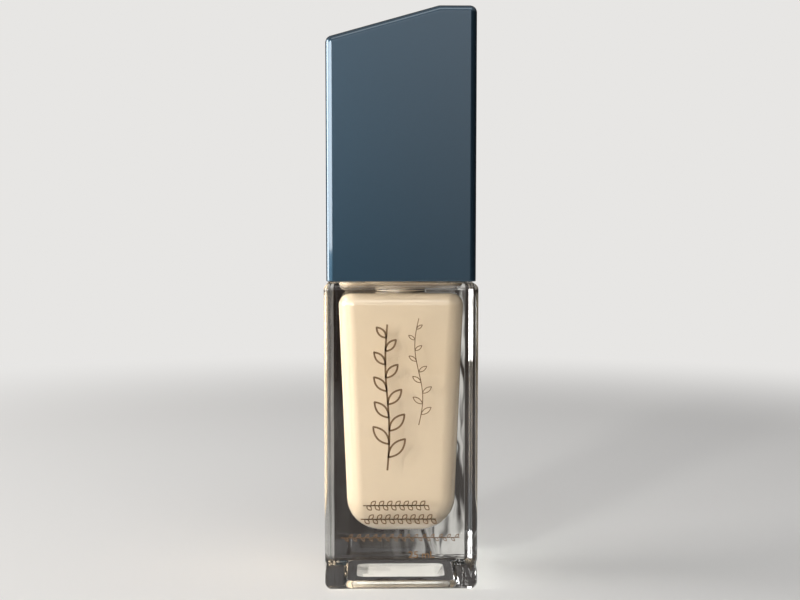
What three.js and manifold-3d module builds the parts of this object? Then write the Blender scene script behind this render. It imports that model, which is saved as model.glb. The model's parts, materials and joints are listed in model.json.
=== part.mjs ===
// Square glass foundation bottle with a treatment pump under a tall overcap whose top is cut at a slant.
// Millimetres, +Z up, front towards -Y. The origin is the middle of the base, on the surface it stands on.
import * as THREE from 'three';
import { mergeVertices } from 'three/addons/utils/BufferGeometryUtils.js';
import Module from 'manifold-3d';

const wasm = await Module();
wasm.setup();

// ---- Driving dimensions ----

// Glass body
const GLASS_WIDTH = 31;
const SHOULDER_Z = 62.5; // top face of the square body
const GLASS_EDGE_R = 1.3; // upright edges
const GLASS_CORNER_MIN = 0.2; // keeps the corners open where the foot and the shoulder draw in
const FOOT_R = 1.6; // round between the walls and the bearing ring
const SHOULDER_R = 1.4;
const PUSH_UP = 1.2; // height of the hollow under the base
const PUSH_UP_MARGIN = 4.5; // wall face to the flat of the hollow
const PUSH_UP_SLOPE = 1.0;
const PUSH_UP_CORNER_R = 1.6;

// Cavity of the glass, which narrows downwards and ends in a round floor
const FLOOR_Z = 10.6;
const SHOULDER_THICKNESS = 2.2;
const WALL_TOP = 2.9;
const WALL_LOW = 4.4;
const CAVITY_CORNER_R = 3.4;
const CAVITY_TOP_R = 2.4;
const CAVITY_FLOOR_R = 7.8;
const LIQUID_GAP = 0.3;

// Label in the hollow of the base
const LABEL_LENGTH = 18.4;
const LABEL_DEPTH = 14;
const LABEL_THICKNESS = 0.2;
const LABEL_CORNER_R = 2;

// Fits: clearance on the radius between snug pieces, and along Z between stacked ones
const FIT = 0.15;
const STACK_GAP = 0.1;

// Pump cylinder and what hangs from it
const HOUSING_BORE_R = 3.5;
const HOUSING_WALL = 0.8;
const HOUSING_TOP_WALL = 1.0;
const HOUSING_NECK_PLAY = 1.0; // cylinder to the bore of the glass
const HOUSING_FLANGE_T = 1.2;
const HOUSING_RISE = 3.3; // tube above the flange
const INLET_LENGTH = 1.2;
const SPIGOT_LENGTH = 3.0;
const SPIGOT_WALL = 0.85;
const DIP_TUBE_R = 1.6;
const DIP_TUBE_WALL = 0.5;
const DIP_TUBE_FLOOR_GAP = 2.0;
const GASKET_T = 0.8;

// Neck of the glass and its thread
const NECK_WALL = 2.55;
const NECK_HEIGHT = 15.2;
const LIP_R = 0.5;
const NECK_FLARE_R = 0.8;
const THREAD_DEPTH = 0.9;
const THREAD_PITCH = 3.175;
const THREAD_TURNS = 1.75;
const THREAD_BASE = 1.5; // width of the ridge at its root
const THREAD_CREST = 0.8;
const THREAD_LIP_DROP = 1.9; // middle of the ridge's top end below the lip

// Collar and its metal sleeve
const THREAD_PLAY = 0.35;
const COLLAR_WALL = 1.1;
const COLLAR_WEB_T = 1.2;
const COLLAR_SHOULDER_GAP = 0.8;
const COLLAR_THREAD_TURNS = 1.25;
const COLLAR_THREAD_BASE = 1.15;
const COLLAR_THREAD_CREST = 0.6;
const COLLAR_THREAD_DEPTH = 0.8;
const COLLAR_HOLE_PLAY = 0.3;
const SLEEVE_T = 0.6;
const SLEEVE_EDGE_R = 0.7;

// Stem, piston and valves
const STROKE = 4;
const STEM_R = 2.0;
const STEM_WALL = 0.5;
const STEM_FLANGE_RIM = 0.6;
const STEM_FLANGE_T = 0.8;
const STEM_SOCKET = 4.4; // length of stem inside the head
const ROD_SOCKET = 3.1; // length of the rod inside the stem
const ROD_BORE_R = 0.75;
const ROD_FLANGE_T = 1.0;
const ROD_SPIGOT = 2.5;
const PISTON_LENGTH = 5.4;
const PISTON_SLEEVE_WALL = 0.6;
const PISTON_LIP_WALL = 0.45;
const PISTON_LIP_SETBACK = 0.7;
const PISTON_WEB_T = 0.8;
const SEAL_GAP = 0.05;
const CHAPLET_DEPTH = 6.4;
const CHAPLET_FLANGE_T = 1.2;
const CHAPLET_SKIRT_WALL = 0.55;
const BALL_PLAY = 0.5;
const INLET_BALL_R = 1.5;
const INLET_SEAT_R = 1.0;
const INLET_LIFT = 0.7;
const OUTLET_BALL_R = 1.2;
const OUTLET_SEAT_R = 0.9;
const OUTLET_LIFT = 0.5;
const RETAINER_T = 1.15;
const RETAINER_RIM = 1.0;
const RETAINER_HOLE_R = 1.0;

// Return spring
const SPRING_LENGTH = 15; // as fitted, with the head up
const SPRING_WIRE_R = 0.25;
const SPRING_SPIGOT_PLAY = 0.35;
const SPRING_COILS = 6;
const SPRING_END_PITCH = 0.56;

// Head
const HEAD_GAP = 0.4; // left under the head when it is pressed down
const HEAD_HEIGHT = 20;
const SHELL_WALL = 0.7;
const SHELL_TOP_T = 1.4;
const SHELL_EDGE_R = 1.2;
const FINGER_DISH = 0.6;
const SLEEVE_HOLE_PLAY = 0.45;
const CHAPLET_SHELL_PLAY = 0.4;
const CORE_SKIRT_WALL = 0.75;
const CORE_HUB_WALL = 1.25;
const CORE_RECESS = 7.5;
const DUCT_R = 0.9;
const SPOUT_R = 2.0;
const SPOUT_REACH = 9.2; // axis of the pump to the end of the spout
const SPOUT_DROP = 6.5; // top of the head to the axis of the spout
const NOZZLE_LENGTH = 2.7;
const NOZZLE_WALL = 0.4;
const NOZZLE_BORE_R = 0.5;
const NOZZLE_RIM = 0.35;
const NOZZLE_RIM_T = 0.4;

// Overcap
const CAP_INSET = 0.5; // glass wall to cap wall
const CAP_GAP = 0.3; // glass shoulder to the mouth of the cap
const CAP_HEADROOM = 11.25; // top of the head to the level strip of the cap
const CAP_FLAT = 7.5; // width of the level strip
const CAP_SLANT = THREE.MathUtils.degToRad(15.5);
const CAP_EDGE_R = 1.4;
const CAP_WALL = 1.6;
const CAP_INNER_EDGE_R = 0.5;
const LINER_RECESS = 0.6;
const LINER_FLANGE_T = 1.4;
const LINER_TOP_T = 1.0;
const LINER_WALL = 1.0;
const LINER_OVER = 2.0; // socket above the collar's sleeve
const LINER_FIN_T = 1.0;
const SOCKET_PLAY = 0.3;
const SOCKET_RIBS = 6;
const SOCKET_RIB_R = 0.45;
const SOCKET_RIB_PROUD = 0.15;

// Facets
const FINE = 32; // around the larger round pieces
const COARSE = 20; // around the small inner ones
const ARC_STEPS = 3;
const THREAD_STEPS = 24; // a turn
const COIL_STEPS = 12; // a turn

// ---- Sizes that follow from them ----

const GLASS_HALF = GLASS_WIDTH / 2;
const CEILING_Z = SHOULDER_Z - SHOULDER_THICKNESS;
const LIP_Z = SHOULDER_Z + NECK_HEIGHT;

const HOUSING_R = HOUSING_BORE_R + HOUSING_WALL;
const HOUSING_TOP_R = HOUSING_BORE_R + HOUSING_TOP_WALL;
const NECK_BORE_R = HOUSING_R + HOUSING_NECK_PLAY;
const NECK_R = NECK_BORE_R + NECK_WALL;
const THREAD_R = NECK_R + THREAD_DEPTH;
const SEAL_RING_R = NECK_R - LIP_R; // outer edge of the gasket and of the housing's flange

const COLLAR_BORE_R = THREAD_R + THREAD_PLAY;
const COLLAR_R = COLLAR_BORE_R + COLLAR_WALL;
const SLEEVE_BORE_R = COLLAR_R + FIT;
const SLEEVE_R = SLEEVE_BORE_R + SLEEVE_T;
const COLLAR_HOLE_R = HOUSING_TOP_R + COLLAR_HOLE_PLAY;

const CHAPLET_SKIRT_BORE_R = HOUSING_TOP_R + FIT;
const CHAPLET_R = CHAPLET_SKIRT_BORE_R + CHAPLET_SKIRT_WALL;
const SHELL_BORE_R = CHAPLET_R + CHAPLET_SHELL_PLAY;
const SHELL_R = SHELL_BORE_R + SHELL_WALL;
const SLEEVE_HOLE_R = SHELL_R + SLEEVE_HOLE_PLAY;

const STEM_SOCKET_R = STEM_R - STEM_WALL; // wide bore at both ends of the stem
const ROD_R = STEM_SOCKET_R - FIT;
const ROD_SPIGOT_R = STEM_R - SEAL_GAP;
const SPRING_R = ROD_SPIGOT_R + SPRING_SPIGOT_PLAY + SPRING_WIRE_R; // middle of the wire
const ROD_FLANGE_R = SPRING_R + SPRING_WIRE_R;

// Heights in the pump's own frame, where 0 is the lip of the glass
const FLANGE_TOP = GASKET_T + HOUSING_FLANGE_T;
const COLLAR_TOP = FLANGE_TOP + STACK_GAP + COLLAR_WEB_T;
const COLLAR_BOTTOM = COLLAR_SHOULDER_GAP - NECK_HEIGHT;
const SLEEVE_TOP = COLLAR_TOP + STACK_GAP + SLEEVE_T;
const HOUSING_TOP = FLANGE_TOP + HOUSING_RISE;
const CHAPLET_TOP = HOUSING_TOP + CHAPLET_FLANGE_T;
const CHAPLET_BOTTOM = HOUSING_TOP - CHAPLET_DEPTH;
const STEM_BOTTOM = CHAPLET_BOTTOM - STACK_GAP - STEM_FLANGE_T;
const PISTON_TOP = STEM_BOTTOM - SEAL_GAP;
const PISTON_BOTTOM = PISTON_TOP - PISTON_LENGTH;
const ROD_FLANGE_TOP = PISTON_BOTTOM - SEAL_GAP;
const SPRING_TOP = ROD_FLANGE_TOP - ROD_FLANGE_T;
const SPRING_BOTTOM = SPRING_TOP - SPRING_LENGTH;
const RETAINER_BOTTOM = SPRING_BOTTOM - RETAINER_T;
const BORE_FLOOR = RETAINER_BOTTOM - SEAL_GAP;
const INLET_SEAT = RETAINER_BOTTOM - INLET_LIFT - seatedBallTop(INLET_BALL_R, INLET_SEAT_R);
const DIP_SOCKET_TOP = INLET_SEAT - INLET_LENGTH;
const HOUSING_BOTTOM = DIP_SOCKET_TOP - SPIGOT_LENGTH;
const DIP_TUBE_BOTTOM = FLOOR_Z + DIP_TUBE_FLOOR_GAP - LIP_Z;

const HUB_BOTTOM = CHAPLET_TOP + STROKE + HEAD_GAP;
const SHELL_BOTTOM = SLEEVE_TOP + STROKE + HEAD_GAP;
const STEM_TOP = HUB_BOTTOM + STEM_SOCKET;
const HUB_CEILING = STEM_TOP + SEAL_GAP;
const OUTLET_SEAT = HUB_CEILING - OUTLET_LIFT - seatedBallTop(OUTLET_BALL_R, OUTLET_SEAT_R);
const HEAD_TOP = SHELL_BOTTOM + HEAD_HEIGHT;
const CORE_TOP = HEAD_TOP - SHELL_TOP_T - FIT;
const SPOUT_Z = HEAD_TOP - SPOUT_DROP;

const CAP_HALF = GLASS_HALF - CAP_INSET;
const CAP_MOUTH_Z = SHOULDER_Z + CAP_GAP;
const CAP_TOP_Z = LIP_Z + HEAD_TOP + CAP_HEADROOM;
const SOCKET_R = SLEEVE_R + SOCKET_PLAY;
const LINER_TOP_Z = LIP_Z + SLEEVE_TOP + LINER_OVER;

// ---- Geometry helpers ----

// Height of a ball's top above the edge of the round seat that it rests on.
function seatedBallTop(ballRadius, seatRadius) {
  return Math.sqrt(ballRadius ** 2 - seatRadius ** 2) + SEAL_GAP + ballRadius;
}

// Points on an arc about (x, z), from one angle to another, in quarter turns from +X towards +Z.
function arc(x, z, radius, from, to, steps = ARC_STEPS) {
  return Array.from({ length: steps + 1 }, (_, i) => {
    const angle = (from + ((to - from) * i) / steps) * (Math.PI / 2);
    return [x + radius * Math.cos(angle), z + radius * Math.sin(angle)];
  });
}

// Turns a profile of [radius, height] points about Z. It closes on itself unless it ends on the axis.
function lathe(profile, segments = FINE) {
  const points = profile.map(([radius, height]) => new THREE.Vector2(radius, height));
  const onAxis = points[0].x === 0 && points.at(-1).x === 0;
  if (!onAxis) points.push(points[0].clone());
  return new THREE.LatheGeometry(points, segments).rotateX(Math.PI / 2);
}

// A plain ring with a square section.
function ring(innerRadius, outerRadius, bottom, top, segments) {
  const profile = [
    [innerRadius, bottom],
    [outerRadius, bottom],
    [outerRadius, top],
    [innerRadius, top],
  ];
  return lathe(profile, segments);
}

// A round bar or cutter along Z.
function bar(radius, bottom, top, segments = COARSE) {
  const height = top - bottom;
  return new THREE.CylinderGeometry(radius, radius, height, segments)
    .rotateX(Math.PI / 2)
    .translate(0, 0, bottom + height / 2);
}

// The same bar laid along -Y at the height of the spout.
function frontBar(radius, from, to) {
  return bar(radius, from, to).rotateX(Math.PI / 2).translate(0, 0, SPOUT_Z);
}

function block(width, depth, bottom, top) {
  return new THREE.BoxGeometry(width, depth, top - bottom).translate(0, 0, (bottom + top) / 2);
}

// Unit directions from a corner to its neighbours, and the half angle between them.
function cornerShape(corners, i) {
  const corner = corners[i];
  const before = corners.at(i - 1).clone().sub(corner).normalize();
  const after = corners[(i + 1) % corners.length].clone().sub(corner).normalize();
  const halfAngle = Math.acos(before.dot(after)) / 2;
  const inward = before.clone().add(after).normalize();
  return { corner, before, after, halfAngle, inward };
}

// Moves every side of a convex outline inwards by the same distance.
function insetOutline(corners, distance) {
  return corners.map((_, i) => {
    const { corner, halfAngle, inward } = cornerShape(corners, i);
    return corner.clone().addScaledVector(inward, distance / Math.sin(halfAngle));
  });
}

// Rounds every corner of a convex outline that runs anticlockwise.
function roundOutline(corners, radius, steps = ARC_STEPS) {
  return corners.flatMap((_, i) => {
    const { corner, before, halfAngle, inward } = cornerShape(corners, i);
    const centre = corner.clone().addScaledVector(inward, radius / Math.sin(halfAngle));
    const start = corner.clone().addScaledVector(before, radius / Math.tan(halfAngle));
    const sweep = Math.PI - 2 * halfAngle;
    return Array.from({ length: steps + 1 }, (_, k) =>
      start.clone().rotateAround(centre, (sweep * k) / steps)
    );
  });
}

// Skins a stack of rings that all have the same number of points, and closes both ends.
function loft(rings) {
  const count = rings[0].length;
  const points = rings.flat();
  const index = [];
  for (let r = 0; r < rings.length - 1; r += 1) {
    for (let i = 0; i < count; i += 1) {
      const a = r * count + i;
      const b = r * count + ((i + 1) % count);
      index.push(a, b, a + count, b, b + count, a + count);
    }
  }
  [0, rings.length - 1].forEach((end) => {
    const middle = new THREE.Vector3();
    rings[end].forEach((point) => middle.addScaledVector(point, 1 / count));
    const hub = points.push(middle) - 1;
    for (let i = 0; i < count; i += 1) {
      const a = end * count + i;
      const b = end * count + ((i + 1) % count);
      index.push(...(end === 0 ? [b, a, hub] : [a, b, hub]));
    }
  });
  return new THREE.BufferGeometry().setFromPoints(points).setIndex(index);
}

// A level ring: a square of the given half width with rounded corners.
function squareRing(half, cornerRadius, z) {
  const corners = [
    new THREE.Vector2(-half, -half),
    new THREE.Vector2(half, -half),
    new THREE.Vector2(half, half),
    new THREE.Vector2(-half, half),
  ];
  return roundOutline(corners, cornerRadius).map((p) => new THREE.Vector3(p.x, p.y, z));
}

// A screw ridge that fades into its wall at both ends. It starts at angle 0 and height `start`.
function threadRidge({ wallRadius, depth, base, crest, turns, start }) {
  const sign = Math.sign(depth);
  const buried = wallRadius - sign * FIT * 2;
  const steps = Math.round(turns * THREAD_STEPS);
  const fadeSteps = THREAD_STEPS / 6;
  const rings = Array.from({ length: steps + 1 }, (_, i) => {
    const fade = THREE.MathUtils.smoothstep(Math.min(i, steps - i), 0, fadeSteps);
    const tip = wallRadius - sign * FIT + (depth + sign * FIT) * fade;
    const angle = (i / THREAD_STEPS) * 2 * Math.PI;
    const middle = start + (i / THREAD_STEPS) * THREAD_PITCH;
    const section = [
      [buried, -base / 2],
      [tip, -crest / 2],
      [tip, crest / 2],
      [buried, base / 2],
    ];
    return section.map(([radius, rise]) =>
      new THREE.Vector3(radius * Math.cos(angle), radius * Math.sin(angle), middle + rise)
    );
  });
  return loft(rings);
}

// ---- Solids ----

// Six times the signed volume inside a triangle mesh: negative when its faces point inwards.
function signedVolume(positions, triangles) {
  const [a, b, c] = [new THREE.Vector3(), new THREE.Vector3(), new THREE.Vector3()];
  let sum = 0;
  for (let i = 0; i < triangles.length; i += 3) {
    a.fromArray(positions, triangles[i] * 3);
    b.fromArray(positions, triangles[i + 1] * 3);
    c.fromArray(positions, triangles[i + 2] * 3);
    sum += a.dot(b.cross(c));
  }
  return sum;
}

// A closed body for joining and cutting, from any closed geometry.
function solid(geometry) {
  const bare = new THREE.BufferGeometry();
  bare.setAttribute('position', geometry.getAttribute('position'));
  bare.setIndex(geometry.getIndex());
  const merged = mergeVertices(bare);
  const positions = merged.getAttribute('position').array;
  const index = merged.getIndex().array;
  const triangles = [];
  for (let i = 0; i < index.length; i += 3) {
    const [a, b, c] = index.slice(i, i + 3);
    if (a !== b && b !== c && c !== a) triangles.push(a, b, c);
  }
  if (signedVolume(positions, triangles) < 0) triangles.reverse();
  const mesh = new wasm.Mesh({
    numProp: 3,
    vertProperties: new Float32Array(positions),
    triVerts: new Uint32Array(triangles),
  });
  return new wasm.Manifold(mesh);
}

function joined(...geometries) {
  return geometries.map(solid).reduce((whole, next) => whole.add(next));
}

function cut(body, ...geometries) {
  return geometries.map(solid).reduce((left, next) => left.subtract(next), body);
}

function geometryOf(body) {
  const { vertProperties, triVerts } = body.getMesh();
  const geometry = new THREE.BufferGeometry();
  geometry.setAttribute('position', new THREE.BufferAttribute(vertProperties, 3));
  geometry.setIndex(new THREE.BufferAttribute(triVerts, 1));
  geometry.computeVertexNormals();
  return geometry;
}

// ---- Materials ----

function material(color, roughness, metalness = 0) {
  return new THREE.MeshStandardMaterial({ color, roughness, metalness });
}

const MATERIALS = {
  clearGlass: material(0xdfe6e4, 0.04),
  cream: material(0xe6d0af, 0.45),
  paper: material(0xf1efe9, 0.8),
  slateCoat: material(0x4a6272, 0.22, 0.6),
  linerPlastic: material(0xd9dcdc, 0.5),
  collarPlastic: material(0xe9e9e6, 0.45),
  brightSleeve: material(0xc9ccd0, 0.18, 1),
  pumpPlastic: material(0xf2f2ee, 0.4),
  tubePlastic: material(0xe4e8ea, 0.35),
  pistonPlastic: material(0xf6f4ec, 0.5),
  seal: material(0xf4f4f2, 0.7),
  steel: material(0xb8bcc0, 0.25, 1),
  headCoat: material(0x4a6272, 0.22, 0.6),
};

function part(name, body, look) {
  const mesh = new THREE.Mesh(geometryOf(body), look);
  mesh.name = name;
  return mesh;
}

// ---- Glass, filling and label ----

// Rings of the cavity from its floor to its ceiling, drawn in by `gap` for what fills it.
function cavityRings(gap) {
  const top = GLASS_HALF - WALL_TOP - gap;
  const low = GLASS_HALF - WALL_LOW - gap;
  const cornerRadius = CAVITY_CORNER_R - gap;
  const floorRadius = CAVITY_FLOOR_R - gap;
  const topRadius = CAVITY_TOP_R - gap;
  const floorArc = arc(low - floorRadius, FLOOR_Z + CAVITY_FLOOR_R, floorRadius, -1, 0, ARC_STEPS * 2);
  const topArc = arc(top - topRadius, CEILING_Z - CAVITY_TOP_R, topRadius, 0, 1);
  const lower = floorArc.map(([half, z]) => squareRing(half, (cornerRadius * half) / low, z));
  const upper = topArc.map(([half, z]) => squareRing(half, cornerRadius - (top - half), z));
  return [...lower, ...upper];
}

// Rings of the outside, from the flat of the hollow base round the foot to the shoulder.
function glassOuterRings() {
  const hollow = GLASS_HALF - PUSH_UP_MARGIN;
  const foot = arc(GLASS_HALF - FOOT_R, FOOT_R, FOOT_R, -1, 0);
  const shoulder = arc(GLASS_HALF - SHOULDER_R, SHOULDER_Z - SHOULDER_R, SHOULDER_R, 0, 1);
  const skin = [...foot, ...shoulder].map(([half, z]) =>
    squareRing(half, Math.max(GLASS_EDGE_R - (GLASS_HALF - half), GLASS_CORNER_MIN), z)
  );
  return [
    squareRing(hollow, PUSH_UP_CORNER_R, PUSH_UP),
    squareRing(hollow + PUSH_UP_SLOPE, PUSH_UP_CORNER_R, 0),
    ...skin,
  ];
}

// The neck stands on the shoulder, with a flare at its foot and a rounded lip.
function neckProfile() {
  const flareZ = SHOULDER_Z + NECK_FLARE_R;
  return [
    [0, CEILING_Z + SHOULDER_THICKNESS / 2],
    [NECK_R + NECK_FLARE_R, CEILING_Z + SHOULDER_THICKNESS / 2],
    ...arc(NECK_R + NECK_FLARE_R, flareZ, NECK_FLARE_R, 3, 2),
    ...arc(NECK_R - LIP_R, LIP_Z - LIP_R, LIP_R, 0, 1),
    [0, LIP_Z],
  ];
}

function glassBottle() {
  const thread = threadRidge({
    wallRadius: NECK_R,
    depth: THREAD_DEPTH,
    base: THREAD_BASE,
    crest: THREAD_CREST,
    turns: THREAD_TURNS,
    start: LIP_Z - THREAD_LIP_DROP - THREAD_TURNS * THREAD_PITCH,
  });
  const outside = joined(loft(glassOuterRings()), lathe(neckProfile()), thread);
  const bore = bar(NECK_BORE_R, CEILING_Z - CAVITY_TOP_R, LIP_Z + 1, FINE);
  return cut(outside, loft(cavityRings(0)), bore);
}

// The filling leaves room for the pump cylinder and the dip tube, also as they are lifted out.
function foundationLiquid() {
  const well = [
    [0, LIP_Z + DIP_TUBE_BOTTOM - LIQUID_GAP],
    [DIP_TUBE_R + LIQUID_GAP, LIP_Z + DIP_TUBE_BOTTOM - LIQUID_GAP],
    [DIP_TUBE_R + LIQUID_GAP, LIP_Z + HOUSING_BOTTOM - LIQUID_GAP],
    [HOUSING_R + LIQUID_GAP, LIP_Z + HOUSING_BOTTOM - LIQUID_GAP],
    [HOUSING_R + LIQUID_GAP, LIP_Z],
    [0, LIP_Z],
  ];
  return cut(solid(loft(cavityRings(LIQUID_GAP))), lathe(well, COARSE));
}

function baseLabel() {
  const half = new THREE.Vector2(LABEL_LENGTH / 2, LABEL_DEPTH / 2);
  const corners = [
    new THREE.Vector2(-half.x, -half.y),
    new THREE.Vector2(half.x, -half.y),
    new THREE.Vector2(half.x, half.y),
    new THREE.Vector2(-half.x, half.y),
  ];
  const outline = new THREE.Shape(roundOutline(corners, LABEL_CORNER_R));
  const plate = new THREE.ExtrudeGeometry(outline, { depth: LABEL_THICKNESS, bevelEnabled: false });
  return solid(plate.translate(0, 0, PUSH_UP - LABEL_THICKNESS));
}

// ---- Pump body, in the frame of the lip ----

function pumpHousing() {
  const chamberRadius = INLET_BALL_R + BALL_PLAY;
  const socketRadius = DIP_TUBE_R + FIT;
  const profile = [
    [HOUSING_BORE_R, HOUSING_TOP],
    [HOUSING_BORE_R, BORE_FLOOR],
    [chamberRadius, BORE_FLOOR],
    [chamberRadius, INLET_SEAT],
    [INLET_SEAT_R, INLET_SEAT],
    [INLET_SEAT_R, DIP_SOCKET_TOP],
    [socketRadius, DIP_SOCKET_TOP],
    [socketRadius, HOUSING_BOTTOM],
    [socketRadius + SPIGOT_WALL, HOUSING_BOTTOM],
    [chamberRadius + HOUSING_WALL, INLET_SEAT],
    [HOUSING_R, BORE_FLOOR - HOUSING_WALL],
    [HOUSING_R, GASKET_T],
    [SEAL_RING_R, GASKET_T],
    [SEAL_RING_R, FLANGE_TOP],
    [HOUSING_TOP_R, FLANGE_TOP],
    [HOUSING_TOP_R, HOUSING_TOP],
  ];
  return solid(lathe(profile, COARSE));
}

function dipTube() {
  return solid(ring(DIP_TUBE_R - DIP_TUBE_WALL, DIP_TUBE_R, DIP_TUBE_BOTTOM, DIP_SOCKET_TOP - FIT, COARSE));
}

function neckGasket() {
  return solid(ring(NECK_BORE_R + FIT, SEAL_RING_R, 0, GASKET_T));
}

// The chaplet's skirt holds the collar, and its inner sleeve stops the stem.
function chaplet() {
  const profile = [
    [STEM_R + FIT, CHAPLET_BOTTOM],
    [HOUSING_BORE_R - FIT, CHAPLET_BOTTOM],
    [HOUSING_BORE_R - FIT, HOUSING_TOP],
    [CHAPLET_SKIRT_BORE_R, HOUSING_TOP],
    [CHAPLET_SKIRT_BORE_R, COLLAR_TOP + STACK_GAP],
    [CHAPLET_R, COLLAR_TOP + STACK_GAP],
    [CHAPLET_R, CHAPLET_TOP],
    [STEM_R + FIT, CHAPLET_TOP],
  ];
  return solid(lathe(profile, COARSE));
}

// Flat seat for the spring, with a rim inside its coils and a hole that the ball can't pass.
function ballRetainer() {
  const profile = [
    [RETAINER_HOLE_R, RETAINER_BOTTOM],
    [HOUSING_BORE_R - FIT, RETAINER_BOTTOM],
    [HOUSING_BORE_R - FIT, SPRING_BOTTOM],
    [ROD_SPIGOT_R, SPRING_BOTTOM],
    [ROD_SPIGOT_R, SPRING_BOTTOM + RETAINER_RIM],
    [RETAINER_HOLE_R, SPRING_BOTTOM + RETAINER_RIM],
  ];
  return solid(lathe(profile, COARSE));
}

function ball(radius) {
  return solid(new THREE.SphereGeometry(radius, COARSE / 2, COARSE / 4 + 1));
}

// Height of a ball's middle above its seat.
function seatedBallMiddle(ballRadius, seatRadius) {
  return seatedBallTop(ballRadius, seatRadius) - ballRadius;
}

// ---- Collar ----

function closureCollar() {
  const profile = [
    [COLLAR_HOLE_R, FLANGE_TOP + STACK_GAP],
    [COLLAR_BORE_R, FLANGE_TOP + STACK_GAP],
    [COLLAR_BORE_R, COLLAR_BOTTOM],
    [COLLAR_R, COLLAR_BOTTOM],
    [COLLAR_R, COLLAR_TOP],
    [COLLAR_HOLE_R, COLLAR_TOP],
  ];
  const thread = threadRidge({
    wallRadius: COLLAR_BORE_R,
    depth: -COLLAR_THREAD_DEPTH,
    base: COLLAR_THREAD_BASE,
    crest: COLLAR_THREAD_CREST,
    turns: COLLAR_THREAD_TURNS,
    start: -THREAD_LIP_DROP - (THREAD_TURNS + 0.5) * THREAD_PITCH,
  });
  return joined(lathe(profile), thread);
}

function collarSleeve() {
  const profile = [
    [SLEEVE_HOLE_R, COLLAR_TOP + STACK_GAP],
    [SLEEVE_BORE_R, COLLAR_TOP + STACK_GAP],
    [SLEEVE_BORE_R, COLLAR_BOTTOM],
    [SLEEVE_R, COLLAR_BOTTOM],
    ...arc(SLEEVE_R - SLEEVE_EDGE_R, SLEEVE_TOP - SLEEVE_EDGE_R, SLEEVE_EDGE_R, 0, 1),
    [SLEEVE_HOLE_R, SLEEVE_TOP],
  ];
  return solid(lathe(profile));
}

// ---- Stem, piston and spring ----

function stem() {
  const socketTop = STEM_BOTTOM + ROD_SOCKET + FIT;
  const profile = [
    [STEM_SOCKET_R, STEM_BOTTOM],
    [STEM_R + STEM_FLANGE_RIM, STEM_BOTTOM],
    [STEM_R + STEM_FLANGE_RIM, STEM_BOTTOM + STEM_FLANGE_T],
    [STEM_R, STEM_BOTTOM + STEM_FLANGE_T],
    [STEM_R, STEM_TOP],
    [STEM_SOCKET_R, STEM_TOP],
    [STEM_SOCKET_R, OUTLET_SEAT],
    [OUTLET_SEAT_R, OUTLET_SEAT],
    [OUTLET_SEAT_R, socketTop],
    [STEM_SOCKET_R, socketTop],
  ];
  return solid(lathe(profile, COARSE));
}

function pistonRod() {
  const profile = [
    [ROD_BORE_R, SPRING_TOP - ROD_SPIGOT],
    [ROD_SPIGOT_R, SPRING_TOP - ROD_SPIGOT],
    [ROD_SPIGOT_R, SPRING_TOP],
    [ROD_FLANGE_R, SPRING_TOP],
    [ROD_FLANGE_R, ROD_FLANGE_TOP],
    [ROD_R, ROD_FLANGE_TOP],
    [ROD_R, STEM_BOTTOM + ROD_SOCKET],
    [ROD_BORE_R, STEM_BOTTOM + ROD_SOCKET],
  ];
  return solid(lathe(profile, COARSE));
}

// A sleeve on the rod and a lip against the bore, above and below one web.
function mainPiston() {
  const sleeveRadius = ROD_R + FIT + PISTON_SLEEVE_WALL;
  const sealRadius = HOUSING_BORE_R - SEAL_GAP;
  const lipRadius = sealRadius - PISTON_LIP_WALL;
  const middle = (PISTON_TOP + PISTON_BOTTOM) / 2;
  const webTop = middle + PISTON_WEB_T / 2;
  const webBottom = middle - PISTON_WEB_T / 2;
  const profile = [
    [ROD_R + FIT, PISTON_BOTTOM],
    [sleeveRadius, PISTON_BOTTOM],
    [sleeveRadius, webBottom],
    [lipRadius, webBottom],
    [lipRadius, PISTON_BOTTOM + PISTON_LIP_SETBACK],
    [sealRadius, PISTON_BOTTOM + PISTON_LIP_SETBACK],
    [sealRadius, PISTON_TOP - PISTON_LIP_SETBACK],
    [lipRadius, PISTON_TOP - PISTON_LIP_SETBACK],
    [lipRadius, webTop],
    [sleeveRadius, webTop],
    [sleeveRadius, PISTON_TOP],
    [ROD_R + FIT, PISTON_TOP],
  ];
  return solid(lathe(profile, COARSE));
}

// A coil with one dead turn at each end, where the wire lies against itself.
class SpringPath extends THREE.Curve {
  getPoint(t, target = new THREE.Vector3()) {
    const turn = t * SPRING_COILS;
    const bottom = SPRING_BOTTOM + SPRING_WIRE_R + SEAL_GAP;
    const top = SPRING_TOP - SPRING_WIRE_R - SEAL_GAP;
    const activePitch = (top - bottom - 2 * SPRING_END_PITCH) / (SPRING_COILS - 2);
    const active = THREE.MathUtils.clamp(turn - 1, 0, SPRING_COILS - 2);
    const height = bottom + (turn - active) * SPRING_END_PITCH + active * activePitch;
    const angle = turn * 2 * Math.PI;
    return target.set(SPRING_R * Math.cos(angle), SPRING_R * Math.sin(angle), height);
  }
}

function returnSpring() {
  const wire = new THREE.Shape().absarc(0, 0, SPRING_WIRE_R, 0, 2 * Math.PI);
  const options = {
    steps: SPRING_COILS * COIL_STEPS,
    curveSegments: 3,
    bevelEnabled: false,
    extrudePath: new SpringPath(),
  };
  return solid(new THREE.ExtrudeGeometry(wire, options));
}

// ---- Head ----

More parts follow.
